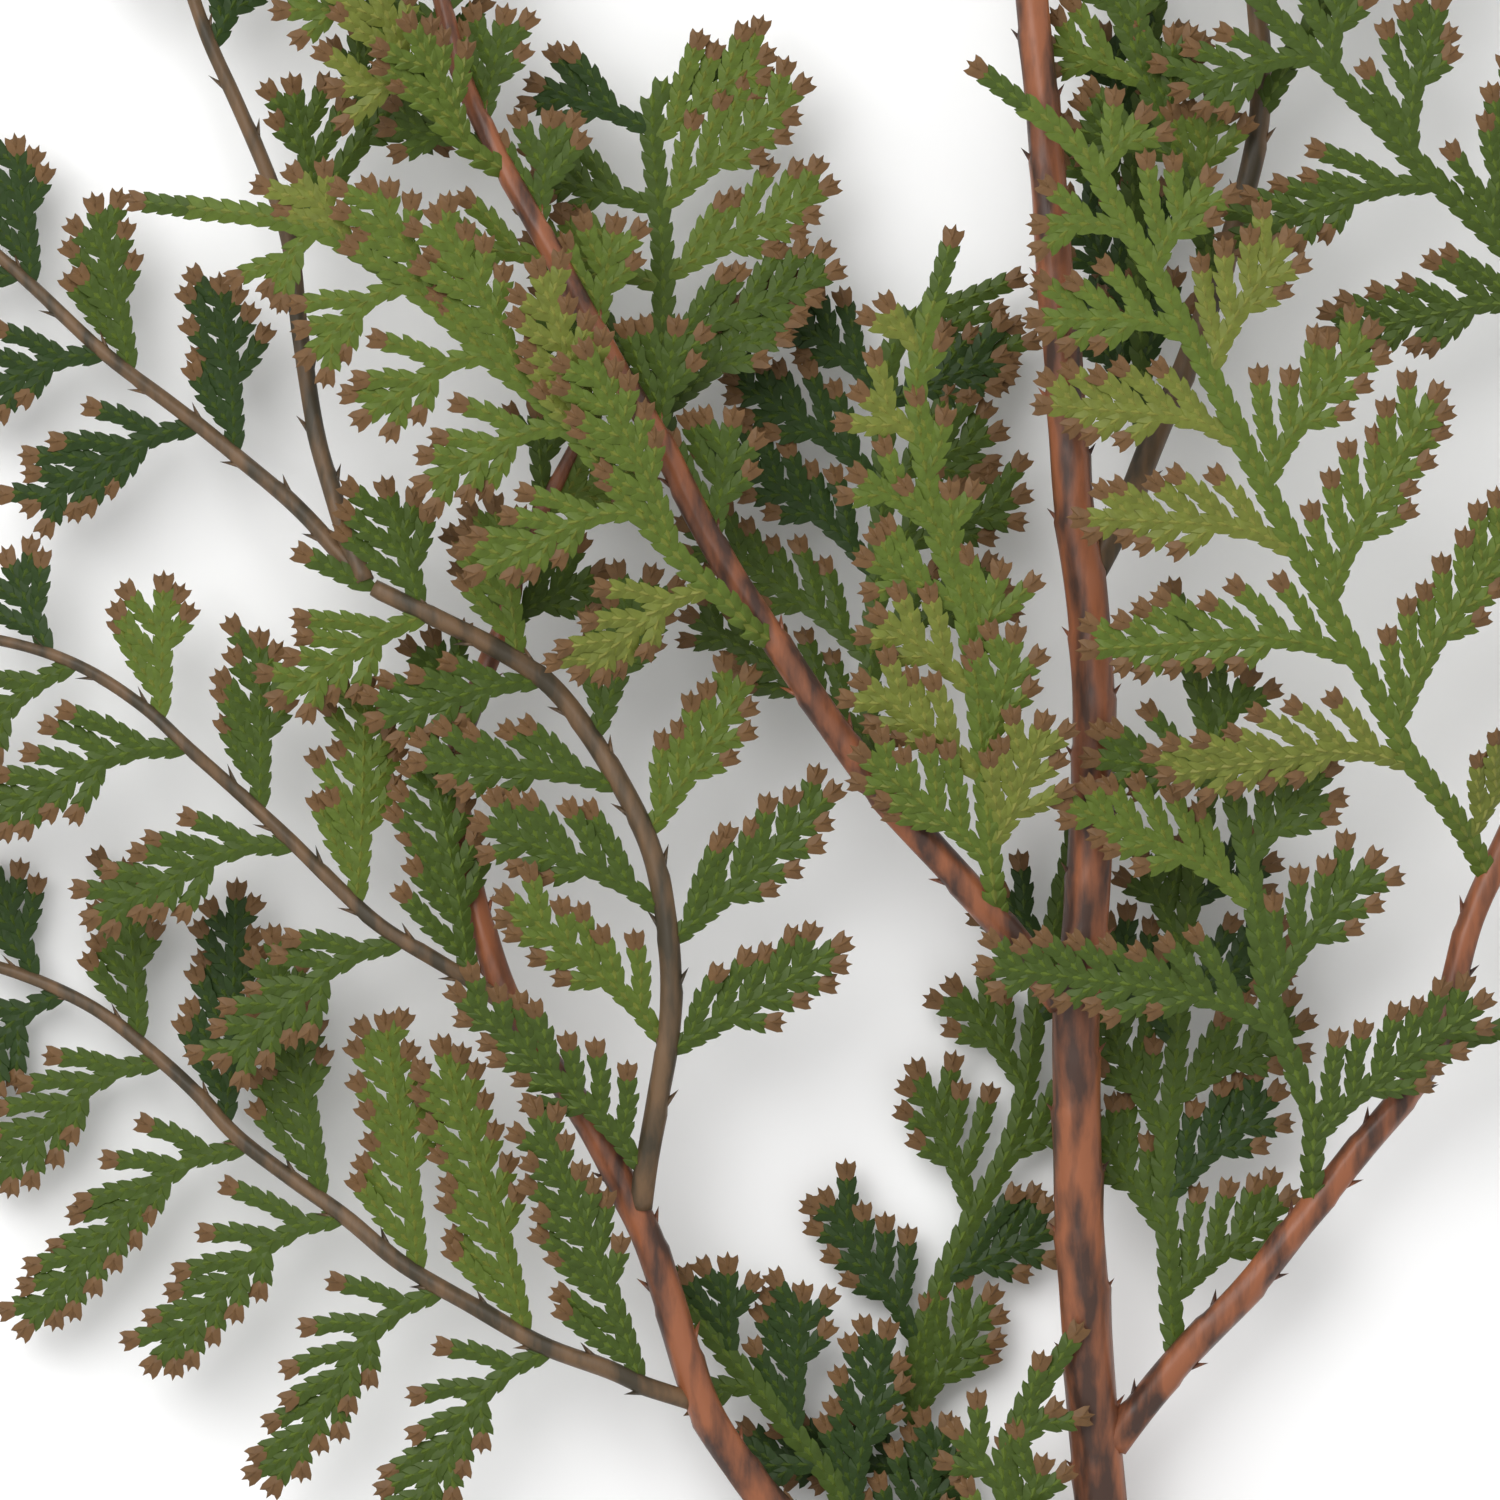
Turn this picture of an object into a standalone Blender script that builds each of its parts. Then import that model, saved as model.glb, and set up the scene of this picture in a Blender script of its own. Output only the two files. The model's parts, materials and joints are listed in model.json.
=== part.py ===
"""A cut branch of emerald green arborvitae lying on a level surface, at its real size.

The stem, the boughs and the flat masses of scale leaves are separate closed solids.
A place on the branch is given in millimetres: to the right of one corner, towards the cut foot from
that corner, and up from the surface that the branch lies on. ORIGIN_X and ORIGIN_Y are the middle.
Every limb is worked out from a short route and two thicknesses, and every mass from the two
rows of side sprays on its limb. The row's numbers are the rule that the sprays grow by.
"""

import math
import random
from collections import namedtuple

import bmesh
import bpy
from mathutils import Matrix, Vector
from mathutils.geometry import delaunay_2d_cdt

# Driving dimensions, in millimetres unless a name says otherwise
ORIGIN_X = 77.04
ORIGIN_Y = 67.13
MM = 0.001
GAP = 0.35
EDGE_GAP = 1.0
STALK_ROOM = 1.0
MASS_ROOM = 2.5
SEARCH_STEP = 0.1
HEADING_REACH = 0.5
BLADE_THICKNESS = 1.3
TUBE_SIDES = 7
RING_SPACING = 14.0
FEWEST_RINGS = 6
SHALLOW_FOOT = 0.4
SHARP_ANGLE = 50.0
TAPER_POWER = 0.6
LINE_PIECES = 8
SPRAY_STEPS = 6
BEND_PART = 0.45
LOBE_HALF_WIDTH = 0.42
LOBE_SLIMNESS = 0.3
NOTCH_DEPTH = 1.1
TERMINAL_LENGTH = 7.0
TERMINAL_HALF_WIDTH = 3.2
TERMINAL_SHOULDER = 0.3
TERMINAL_SLANT = 0.6
LAST_FOOT_PART = 0.6
LENGTH_SPREAD = 0.08
ANGLE_SPREAD = 4.0
LIFT_SPREAD = 0.02
TIP_OVERLAP = 2.0
TIP_SIDE = 0.5
EDGE_PARTS = (0.33, 0.67)
CLOSE = 0.01
UP = Vector((0.0, 0.0, 1.0))

# first: millimetres along the limb to the first spray; step: spacing at the foot and the tip of
# the limb; lengths: of sprays at the limb's foot, middle and tip; angles: degrees off the limb
# that a spray starts and ends at; lift: millimetres that it rises for each millimetre it runs
Row = namedtuple("Row", "first step lengths angles lift")

# route: places from foot to tip; thickness: radius at the foot and the tip; left and right: rows
# of sprays, as seen from above when looking to the tip, or None; woody: a bough with a mass beside
# it for each row, or else a leafy frond that is one blade with its rows
Limb = namedtuple("Limb", "name parent route thickness left right woody")

LIMBS = [
    Limb("main_stem", None,
         [(113.6, 212, 2.95), (111.6, 180, 6.6), (110.2, 150, 10), (108.4, 130, 12.6), (107.7, 110, 14.8),
          (107.7, 100, 15.8), (109.1, 85, 17), (109.1, 65, 18.3), (107.3, 50, 19), (105.7, 30, 19.4),
          (103.9, 8, 19), (101, -20, 16.5), (97.5, -50, 12.5), (95, -78, 8)],
         (2.95, 0.5), None, None, True),
    Limb("upper_left_bough", "main_stem",
         [(107.2, 101.5, 15.8), (103, 96, 17.2), (97, 89, 19), (89.5, 81, 20.4), (82.5, 71.5, 21.4),
          (76, 62, 22), (71, 54, 22), (66.5, 45, 21.8), (61, 36, 21.2), (57, 28.5, 20.6),
          (52.5, 20.5, 19.8), (49, 14, 19), (46, 7, 18), (43.5, -3, 16), (41, -16, 12.5), (39, -30, 7)],
         (1.65, 0.4),
         Row(92, (13, 13), (10, 10, 8), (45, 55), 0.0),
         Row(60, (12, 12), (11, 11, 8), (40, 38), -0.04), True),
    Limb("lower_left_bough", "main_stem",
         [(112.4, 192, 5.4), (104, 184, 6.6), (95, 175, 8), (87.5, 165, 9.6), (80, 154, 11.4),
          (75, 148.2, 12.4), (70.3, 140.5, 13.4), (66.5, 129, 14.4), (63.5, 121, 15), (58.2, 111, 15.4),
          (52, 102.5, 15.5), (48.5, 94, 15.2), (46.5, 85, 14.7), (45.6, 76, 14.2), (47.5, 69.5, 13.8),
          (50.5, 62, 13.4), (52.2, 55, 13), (56, 47.5, 12.4), (60, 40, 11.6)],
         (2.1, 0.5),
         Row(141, (12, 12), (11, 11, 8), (45, 35), 0.0),
         Row(152, (12, 12), (16, 16, 9), (35, 40), 0.0), True),
    Limb("middle_left_bough", "lower_left_bough",
         [(63.9, 122.3, 15), (64.6, 117, 17), (65.8, 110, 18.6), (66.9, 103, 19.6), (66.9, 94, 20.2),
          (65.2, 85, 20.2), (61.5, 77.5, 19.8), (56, 69.5, 18.8), (50, 65, 18.9), (43, 61.5, 19.2),
          (37.4, 58.8, 18.8)],
         (1.15, 0.85),
         Row(5.5, (13.3, 13.3), (25, 19, 15), (42, 56), 0.08),
         Row(18, (11, 11), (24, 20, 10), (57, 50), 0.02), True),
    Limb("middle_left_leader", "middle_left_bough",
         [(36.6, 58.2, 18.5), (34.8, 54, 17.3), (33.2, 49, 15.8), (31.5, 43, 13.6), (30, 34, 13),
          (29.2, 26, 12.8), (27.5, 19.5, 12.4), (23.5, 10, 12), (20, 2, 11.4), (16.8, -9, 10),
          (14.8, -21, 7.5), (13.8, -33, 4)],
         (0.95, 0.35),
         Row(63, (12, 12), (12, 12, 7), (45, 45), 0.0),
         Row(57, (12, 12), (14, 14, 8), (50, 50), 0.0), True),
    Limb("middle_left_fork", "middle_left_leader",
         [(35.4, 57, 17.8), (30, 51, 14.8), (23.5, 45.5, 11.6), (16.5, 40, 10.4), (10, 35, 9.4),
          (3, 28.5, 8), (-5, 21.5, 6), (-14, 14.5, 3.4), (-21, 10, 0.9)],
         (0.85, 0.35),
         Row(22.5, (12, 12), (21, 17, 8), (38, 65), -0.03),
         Row(18, (13.5, 13.5), (17, 17, 6), (50, 42), 0.0), True),
    Limb("outer_left_upper_bough", "lower_left_bough",
         [(51.2, 101, 15.5), (47.5, 98.3, 17), (44, 96.2, 17.4), (38, 92.5, 17.2), (33, 88, 16.7),
          (28.5, 83.5, 16), (23, 78.5, 15.2), (18.5, 74.5, 15.4), (14.4, 70.8, 14.2), (9, 67.2, 12.6),
          (3, 64.8, 10.6), (-4, 63.3, 8.2), (-11, 62.8, 5), (-17, 63, 2)],
         (0.8, 0.35),
         Row(13, (14.6, 14.6), (20, 23, 8), (38, 72), -0.02),
         Row(5.5, (13.6, 13.6), (24, 15, 4), (50, 45), -0.07), True),
    Limb("outer_left_lower_bough", "lower_left_bough",
         [(69.4, 140.3, 13.3), (64.5, 138.6, 15), (61, 137, 15.6), (54, 134.4, 15.6), (47, 130.5, 15),
          (40, 126.3, 14), (34.5, 121.8, 12.8), (29, 118, 11.4), (23.5, 113.8, 9.8), (19.5, 109.6, 8.4),
          (15, 105.5, 7), (9, 101, 5.4), (2, 97.8, 3.8), (-6, 95.5, 2.2), (-14, 94, 1), (-20, 93.3, 0.4)],
         (0.95, 0.4),
         Row(15.5, (12.4, 12.4), (22, 28, 6), (40, 85), -0.06),
         Row(6, (12.5, 12.5), (32, 24, 4), (53, 46), 0.02), True),
    Limb("upper_right_bough", "main_stem",
         [(108.6, 58.5, 18.5), (110.8, 54.5, 17.4), (112.8, 50.5, 15.8), (114.4, 46.5, 14.4), (116.2, 42, 13.6),
          (118.2, 37.5, 13.2), (120.6, 31.5, 13), (122.6, 26, 13), (124.6, 19, 13), (126, 12, 13),
          (126.2, 6, 13.2), (125.7, 0, 13.4), (125.4, -10, 13.2), (126, -22, 12), (127.5, -34, 9.6),
          (129, -45, 6.5)],
         (1.35, 0.4),
         Row(68, (12, 12), (13, 13, 8), (45, 45), 0.0),
         Row(62, (12, 12), (13, 13, 8), (45, 45), 0.0), True),
    Limb("lower_right_bough", "main_stem",
         [(110, 146.5, 10.5), (113.5, 141.8, 11.6), (118, 136.2, 12.8), (124.5, 129.2, 13.8), (130, 122.5, 14.4),
          (136, 115, 14.8), (142, 107.5, 15), (144.4, 102.5, 15), (145.6, 97.5, 15), (147.2, 92, 14.9),
          (149.8, 86, 14.6), (154, 77.5, 13.6), (159.5, 67, 12), (164, 55, 10), (167.5, 42, 7.6),
          (170, 28, 4.4), (171.5, 16, 1)],
         (1.65, 0.45),
         Row(97, (13, 13), (14, 14, 9), (45, 45), 0.0),
         Row(92, (13, 13), (18, 18, 9), (50, 60), -0.03), True),
    Limb("crown_left_bough", "main_stem",
         [(101.9, -12, 17.2), (98, -18, 17.6), (92, -26.5, 17.6), (85, -36, 16.4), (79, -47, 13.6),
          (75, -59, 9), (73, -70, 3)],
         (1.1, 0.4),
         Row(14, (12, 12), (16, 14, 7), (45, 52), -0.02),
         Row(20, (12, 12), (14, 13, 7), (45, 42), 0.0), True),
    Limb("crown_right_bough", "main_stem",
         [(100.7, -25, 15.9), (104, -31, 16.4), (109, -39, 16), (114, -48.5, 14.2), (118, -59, 11),
          (120.5, -70, 6.5)],
         (1.0, 0.4),
         Row(19, (12, 12), (13, 12, 7), (45, 42), 0.0),
         Row(13, (12, 12), (15, 13, 7), (45, 52), -0.02), True),
    Limb("long_front_frond", "upper_left_bough",
         [(77.6, 64.4, 22), (75.4, 63, 24.2), (72.5, 60, 26.5), (69, 57, 28), (64, 51.5, 29.4),
          (60, 46.5, 30), (57, 43, 30), (53.5, 39.5, 30), (50, 36.8, 29.8), (45, 32, 29.2),
          (41, 28.8, 28.4), (37, 26, 27.4), (33.5, 24, 26.4), (30.5, 22.8, 25.4), (26, 21.8, 24),
          (21.3, 21.2, 22.6)],
         (0.9, 0.4),
         Row(10, (10.8, 10.8), (16, 15, 5), (45, 75), -0.06),
         Row(15.5, (11.2, 11.2), (25, 18, 4), (32, 20), 0.02), False),
    Limb("top_left_frond", "upper_left_bough",
         [(51, 17.4, 19.4), (48.4, 16, 21.2), (45.5, 13.6, 23), (43, 10.5, 24), (39.5, 6.5, 24.6),
          (36, 1.5, 24.4), (33, -3, 23.6), (30, -9, 22), (28, -15, 20)],
         (0.8, 0.35),
         Row(14, (9, 9), (7, 7, 6), (45, 55), -0.05),
         Row(6, (9, 9), (13, 10, 7), (35, 20), 0.0), False),
    Limb("back_left_frond", "upper_left_bough",
         [(87.2, 78.3, 20.8), (86.9, 75, 18.4), (86.9, 71, 16), (87.2, 65, 13.6), (87.8, 58, 11.6),
          (88.3, 50, 10.2), (88.5, 42, 9.2), (89, 36, 8.6), (91, 32.2, 8.2), (94.5, 30.6, 7.8)],
         (0.9, 0.4),
         Row(5, (9, 9), (26, 20, 9), (40, 55), 0.0),
         Row(16.5, (8, 8), (13, 14, 10), (60, 65), 0.0), False),
    Limb("back_upper_frond", "upper_left_bough",
         [(68, 48.5, 22), (67.4, 46.4, 20), (66.6, 43, 18), (65.9, 38, 16), (66.3, 31, 14.6),
          (66.2, 25, 13.6), (65.7, 19, 12.8), (65.2, 13, 12), (65.8, 10, 11.6), (68, 8.6, 11.2)],
         (0.95, 0.45),
         Row(14, (8, 8), (12, 14, 10), (65, 70), 0.0),
         Row(9, (7, 7), (14, 20, 12), (60, 58), 0.0), False),
    Limb("front_left_frond", "upper_left_bough",
         [(99.9, 92.6, 18.2), (99.4, 89.5, 20.4), (99, 86, 22), (98.5, 80, 23.6), (97.9, 73, 24.6),
          (97.2, 66, 25), (96, 60, 25), (94.1, 55, 24.8), (93, 50, 24.6), (92, 44, 24.4),
          (91.6, 39, 24.2), (92.2, 34.5, 24), (93, 31.5, 23.8)],
         (1.2, 0.4),
         Row(7.5, (8.6, 8.6), (19, 11, 4), (42, 48), 0.0),
         Row(9, (9.5, 9.5), (15, 8, 3), (38, 20), 0.0), False),
    Limb("front_right_frond", "lower_right_bough",
         [(149, 88, 14.7), (147.6, 85.4, 17), (145.8, 82.4, 20), (143.5, 79.4, 22.6), (140.8, 76, 24.8),
          (138.5, 72, 26.2), (136.2, 67.6, 27.2), (132.5, 61, 28.2), (129.5, 55.6, 28.6), (127, 50.8, 28.8),
          (124.6, 46, 28.8), (122, 40.5, 28.8), (118.5, 33.8, 28.4), (116.2, 29.6, 28), (113.6, 25, 27.6),
          (111, 20.6, 27), (108.8, 16.6, 26.6), (106.6, 14.2, 26.2), (103.8, 12, 25.8)],
         (1.15, 0.45),
         Row(17.2, (12.5, 11.5), (30, 22, 3), (32, 62), -0.1),
         Row(6, (15.8, 9.5), (27, 21, 3), (48, 62), -0.04), False),
    Limb("middle_right_frond", "lower_right_bough",
         [(131.4, 120.8, 14.5), (131.2, 117, 17), (131.2, 112.5, 18.8), (129.8, 108, 19.8), (128.2, 104.5, 20.4),
          (127.1, 101, 20.8), (126, 96, 21.2), (125.3, 90, 21.4), (124.2, 84, 21.4), (122.9, 79, 21.2),
          (121.3, 74.5, 21), (120, 70.5, 20.6), (119, 66.5, 20.2)],
         (1.1, 0.4),
         Row(20, (12.3, 12.3), (38, 24, 5), (40, 62), 0.04),
         Row(8, (16, 10), (26, 14, 4), (38, 50), -0.02), False),
    Limb("inner_right_frond", "lower_right_bough",
         [(118, 136.8, 12.7), (117.4, 133, 12.4), (117.1, 128, 12), (116.8, 122, 11.4), (116.5, 117, 11),
          (117.2, 111, 10.6), (117.8, 105, 10.2), (118.2, 99, 9.6), (118.8, 93, 9), (119.6, 87.5, 8.2),
          (120.4, 83, 7.4)],
         (1.05, 0.4),
         Row(13.4, (9.5, 9.5), (13, 14, 7), (38, 32), -0.06),
         Row(6.8, (10, 10), (17, 15, 6), (50, 57), -0.08), False),
    Limb("corner_frond", "lower_right_bough",
         [(167.2, 43.5, 7.8), (163.5, 39, 11.6), (159, 34, 14.4), (154.5, 29, 16.4), (150, 24.5, 17.6),
          (146, 20.6, 18.4), (142, 16.8, 18.8), (138.5, 13, 19), (135, 9.3, 19), (132, 6.2, 18.8),
          (129, 3.4, 18.4), (126, 0.2, 18), (123, -4.5, 17.4)],
         (1.05, 0.4),
         Row(19, (17.5, 17.5), (24, 22, 9), (40, 62), 0.0),
         Row(6, (11.5, 11.5), (20, 17, 8), (40, 62), 0.0), False),
    Limb("upper_right_fork", "upper_right_bough",
         [(125.9, 11.5, 13), (128.6, 6.8, 15.6), (131.2, 2.5, 16.2), (134, -2, 16.2), (139, -9.5, 15.4),
          (144, -18, 13.6), (148, -28, 11)],
         (0.9, 0.35),
         Row(16, (12, 12), (12, 12, 7), (45, 45), 0.0),
         Row(20, (12, 12), (12, 12, 7), (45, 45), 0.0), False),
    Limb("upper_right_side_frond", "upper_right_bough",
         [(121.8, 28.6, 13), (121.1, 26, 14.2), (119.8, 22, 15.4), (118.6, 18, 16), (117, 14, 16.4),
          (115.4, 10, 16.6), (113.6, 5.5, 16.6), (112, 1, 16.4), (110.6, -5, 15.8), (109.6, -12, 14.6)],
         (0.95, 0.45),
         Row(14, (8, 8), (12, 10, 6), (45, 50), 0.0),
         Row(9, (8, 8), (9, 9, 6), (30, 20), 0.0), False),
    Limb("upper_right_back_frond", "upper_right_bough",
         [(115, 45, 14.2), (114.6, 42, 11.6), (114.4, 38, 10), (114.2, 33, 9.4), (113.8, 27, 9),
          (113.5, 21, 8.8), (113.6, 15, 8.6), (114.6, 8, 8.4), (115.6, 1, 8.2)],
         (0.9, 0.4),
         Row(6, (9, 9), (16, 13, 7), (35, 25), 0.0),
         Row(10, (9, 9), (9, 9, 6), (30, 20), 0.0), False),
    Limb("outer_right_frond", "lower_right_bough",
         [(143.3, 105, 15), (146, 104, 15.2), (149, 103.2, 15.2), (153, 102.4, 14.8), (158, 101, 14),
          (164, 98.5, 12.6), (170, 95.5, 11), (175, 93, 9.4)],
         (0.95, 0.4),
         Row(8, (11, 11), (14, 13, 6), (50, 55), -0.05),
         Row(13, (11, 11), (14, 13, 6), (50, 55), -0.05), False),
    Limb("inner_back_frond", "main_stem",
         [(111, 168, 6.8), (106.5, 162.5, 5.6), (101, 155.5, 4.8), (95.5, 149, 4.4), (92, 143.5, 4.2),
          (91.5, 138, 4.2), (92.8, 132.5, 4.2), (95, 127, 4.2), (98, 121, 4.2), (101, 115.5, 4.2),
          (102.8, 109, 4.2), (103.6, 102.5, 4.2), (105, 96, 4), (106.3, 90, 3.8)],
         (1.1, 0.4),
         Row(26, (14, 14), (24, 18, 6), (45, 50), -0.03),
         Row(33, (14, 14), (18, 12, 5), (40, 40), -0.03), False),
    Limb("inner_left_frond", "lower_left_bough",
         [(91.6, 170.6, 8.7), (90.8, 165, 7.8), (89, 159.5, 7.2), (86.5, 154.5, 7), (83.5, 149, 7),
          (80, 144.5, 7), (76, 139.5, 7), (72.5, 135.5, 7.4), (70, 132, 7.6)],
         (0.9, 0.4),
         Row(16, (10, 10), (8, 8, 4), (45, 50), 0.0),
         Row(10, (10, 10), (22, 18, 5), (35, 40), 0.0), False),
    Limb("inner_front_frond", "main_stem",
         [(111, 174, 9), (107.6, 167.5, 11.5), (104.2, 160.5, 13.4), (101.4, 153.5, 14.2), (100.4, 147.5, 14.6),
          (101.4, 143, 14.8), (103.4, 139.8, 15)],
         (0.9, 0.4),
         Row(10, (9, 9), (10, 9, 5), (42, 35), 0.0),
         Row(14, (9, 9), (10, 9, 5), (42, 35), 0.0), False),
    Limb("lower_left_frond", "lower_left_bough",
         [(96.9, 177, 7.4), (91, 175.4, 6.4), (84, 173.5, 6), (76, 172.4, 5.8), (67, 172.6, 5),
          (58, 174.4, 3.8), (50, 178, 2.4), (44, 182.5, 1.2)],
         (1.0, 0.4),
         Row(12, (12, 12), (20, 17, 7), (45, 60), -0.05),
         Row(8, (12, 12), (18, 16, 7), (50, 50), 0.0), False),
    Limb("lower_right_frond", "main_stem",
         [(112.9, 187, 5.9), (117.5, 181, 7), (123, 175, 7.6), (129.5, 169.5, 7.6), (137, 165, 6.6),
          (144.5, 162, 4.8), (151, 160.5, 2.4)],
         (1.0, 0.4),
         Row(10, (12, 12), (14, 12, 6), (45, 45), 0.0),
         Row(15, (12, 12), (14, 12, 6), (45, 60), -0.03), False),
    Limb("leader_side_frond", "middle_left_leader",
         [(29.1, 25.6, 11.5), (30.4, 22.6, 12.1), (32.2, 19.6, 12.7), (34.6, 16, 13.3), (37, 12.8, 13.7),
          (40, 9.4, 13.9), (43, 6, 13.6)],
         (0.65, 0.35),
         Row(5.5, (7, 14), (13, 11, 8), (35, 40), 0.0),
         Row(14, (9, 9), (7, 7, 6), (40, 35), 0.0), False),
]

# Boughs that end in a fork, with no spray of their own at the tip
FORKED = ("middle_left_bough",)

# Base colour and roughness
BARK = ((0.30, 0.12, 0.06), 0.55)
FOLIAGE = ((0.10, 0.16, 0.03), 0.6)


def place(x, y, z):
    """A place from a route as a point in the branch's own frame, in millimetres."""
    return Vector((x - ORIGIN_X, ORIGIN_Y - y, z))


def smooth_line(points):
    """A smooth line through the points."""
    ends = [2 * points[0] - points[1], *points, 2 * points[-1] - points[-2]]
    line = []
    for a, b, c, d in zip(ends, ends[1:], ends[2:], ends[3:]):
        for piece in range(LINE_PIECES):
            t = piece / LINE_PIECES
            bend = (2 * a - 5 * b + 4 * c - d) * t ** 2 + (3 * b - a - 3 * c + d) * t ** 3
            line.append((2 * b + (c - a) * t + bend) / 2)
    return line + [points[-1]]


class Course:
    """The smooth line of a limb, read by the distance along it."""

    def __init__(self, limb):
        self.limb = limb
        self.line = smooth_line([place(*station) for station in limb.route])
        self.marks = [0.0]
        for a, b in zip(self.line, self.line[1:]):
            self.marks.append(self.marks[-1] + (b - a).length)
        self.length = self.marks[-1]

    def point(self, distance):
        distance = min(max(distance, 0.0), self.length)
        index = next(i for i, mark in enumerate(self.marks[1:]) if mark >= distance)
        span = self.marks[index + 1] - self.marks[index]
        return self.line[index].lerp(self.line[index + 1], (distance - self.marks[index]) / span)

    def heading(self, distance):
        ahead = self.point(distance + HEADING_REACH)
        return (ahead - self.point(distance - HEADING_REACH)).normalized()

    def normal(self, distance):
        """The upper side of the flat plane that the limb's sprays lie in."""
        heading = self.heading(distance)
        return (UP - UP.dot(heading) * heading).normalized()

    def sideways(self, distance, side):
        """Out to the left with side 1, and to the right with side -1."""
        return side * self.normal(distance).cross(self.heading(distance))

    def radius(self, distance):
        foot, tip = self.limb.thickness
        part = max(0.0, 1.0 - distance / self.length)
        return tip + (foot - tip) * part ** TAPER_POWER

    def nearest(self, point):
        """How far along its line the limb passes closest to a point."""
        best = (math.inf, 0.0)
        for a, b, mark in zip(self.line, self.line[1:], self.marks):
            part = min(max((point - a).dot(b - a) / (b - a).length_squared, 0.0), 1.0)
            best = min(best, ((a.lerp(b, part) - point).length, mark + part * (b - a).length))
        return best[1]


def clear_start(course, parent, room):
    """The distance along a limb where it has come clear of its parent's surface by the room given."""
    if parent is None:
        return 0.0
    distance = 0.0
    while distance < course.length:
        point = course.point(distance)
        mark = parent.nearest(point)
        if (point - parent.point(mark)).length > parent.radius(mark) + room:
            return distance
        distance += SEARCH_STEP
    return 0.0


def spray_feet(row, course):
    """The distances along a limb at which the sprays of a row grow."""
    feet = []
    distance = row.first
    while distance < course.length - TERMINAL_LENGTH * LAST_FOOT_PART:
        feet.append(distance)
        part = distance / course.length
        distance += row.step[0] + (row.step[1] - row.step[0]) * part
    return feet


def notch_marks(row, course, start):
    """The distances along a limb that lie between a row's lobes, and at both ends of the row."""
    feet = spray_feet(row, course)
    marks = [max(start, row.first - row.step[0] / 2)]
    marks += [(a + b) / 2 for a, b in zip(feet, feet[1:])]
    return marks + [(feet[-1] + course.length) / 2]


def spray_length(row, part):
    """The length of a spray at a part of the limb's length, from the row's three lengths."""
    foot, middle, tip = row.lengths
    if part < 0.5:
        return foot + (middle - foot) * part * 2
    return middle + (tip - middle) * (part * 2 - 1)


def spray_line(course, row, foot, side, dice):
    """The points of a spray's own line, its direction after each of them, and its length."""
    length = spray_length(row, foot / course.length)
    length *= 1 + dice.uniform(-LENGTH_SPREAD, LENGTH_SPREAD)
    swing = dice.uniform(-ANGLE_SPREAD, ANGLE_SPREAD)
    lift = row.lift + dice.uniform(-LIFT_SPREAD, LIFT_SPREAD)
    heading = course.heading(foot)
    outward = course.sideways(foot, side)
    point = course.point(foot)
    points = [point]
    directions = []
    for step in range(SPRAY_STEPS):
        part = min(1.0, (step + 0.5) / (SPRAY_STEPS * BEND_PART))
        angle = math.radians(row.angles[0] + (row.angles[1] - row.angles[0]) * part + swing)
        direction = heading * math.cos(angle) + outward * math.sin(angle) + UP * lift
        point = point + direction * (length / SPRAY_STEPS)
        points.append(point)
        directions.append(direction.normalized())
    return points, directions, length


def lobe(course, row, foot, side, dice):
    """The outer corners of the lobe that one spray fills, from its near shoulder round its tip."""
    points, directions, length = spray_line(course, row, foot, side, dice)
    spacing = row.step[0] * math.sin(math.radians(min(90.0, row.angles[1])))
    half = min(LOBE_HALF_WIDTH * spacing, LOBE_SLIMNESS * length)
    shoulder = SPRAY_STEPS * 2 // 3
    across = course.normal(foot).cross(directions[shoulder]).normalized() * half * side
    return [points[shoulder] + across, points[-1], points[shoulder] - across]


def cells(course, side, start, offset, shared):
    """The outlines of one side's lobes, each with its stretch of the edge beside the limb."""
    row = course.limb.left if side > 0 else course.limb.right
    dice = random.Random(f"{course.limb.name}{side}")
    notches = notch_marks(row, course, start)

    def inner(distance):
        return course.point(distance) + course.sideways(distance, side) * offset(distance)

    def outer(distance):
        reach = max(offset(distance), course.radius(distance)) + NOTCH_DEPTH
        return course.point(distance) + course.sideways(distance, side) * reach

    def edge(near, far):
        between = [mark for mark in shared if near < mark < far]
        return [inner(distance) for distance in (near, *between, far)]

    outlines = []
    for foot, near, far in zip(spray_feet(row, course), notches, notches[1:]):
        corners = lobe(course, row, foot, side, dice)
        outlines.append([*edge(near, far), outer(far), *reversed(corners), outer(near)])
    last = notches[-1]
    end = course.length - offset(course.length) / 2
    middle = (last + course.length) / 2
    shoulder = course.point(middle) + course.sideways(middle, side) * TERMINAL_HALF_WIDTH
    outlines.append([*edge(last, end), shoulder, outer(last)])
    return outlines


def tip_outline(course, gap):
    """The outline of the last spray, which starts a gap past the limb's end and joins its left side."""
    end = course.length
    out = course.heading(end)
    across = course.sideways(end, 1)
    tip = course.point(end)
    near = tip + out * TERMINAL_LENGTH * TERMINAL_SHOULDER
    wide = across * TERMINAL_HALF_WIDTH
    back = course.point(end - TIP_OVERLAP)
    clear = course.radius(end) + gap
    inside = back + across * (clear if gap else 0.0)
    beside = tip + across * (clear if gap else TIP_SIDE)
    slant = near - wide * TERMINAL_SLANT
    return [beside, tip + out * gap, slant, tip + out * TERMINAL_LENGTH, near + wide, back + wide, inside]


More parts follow.
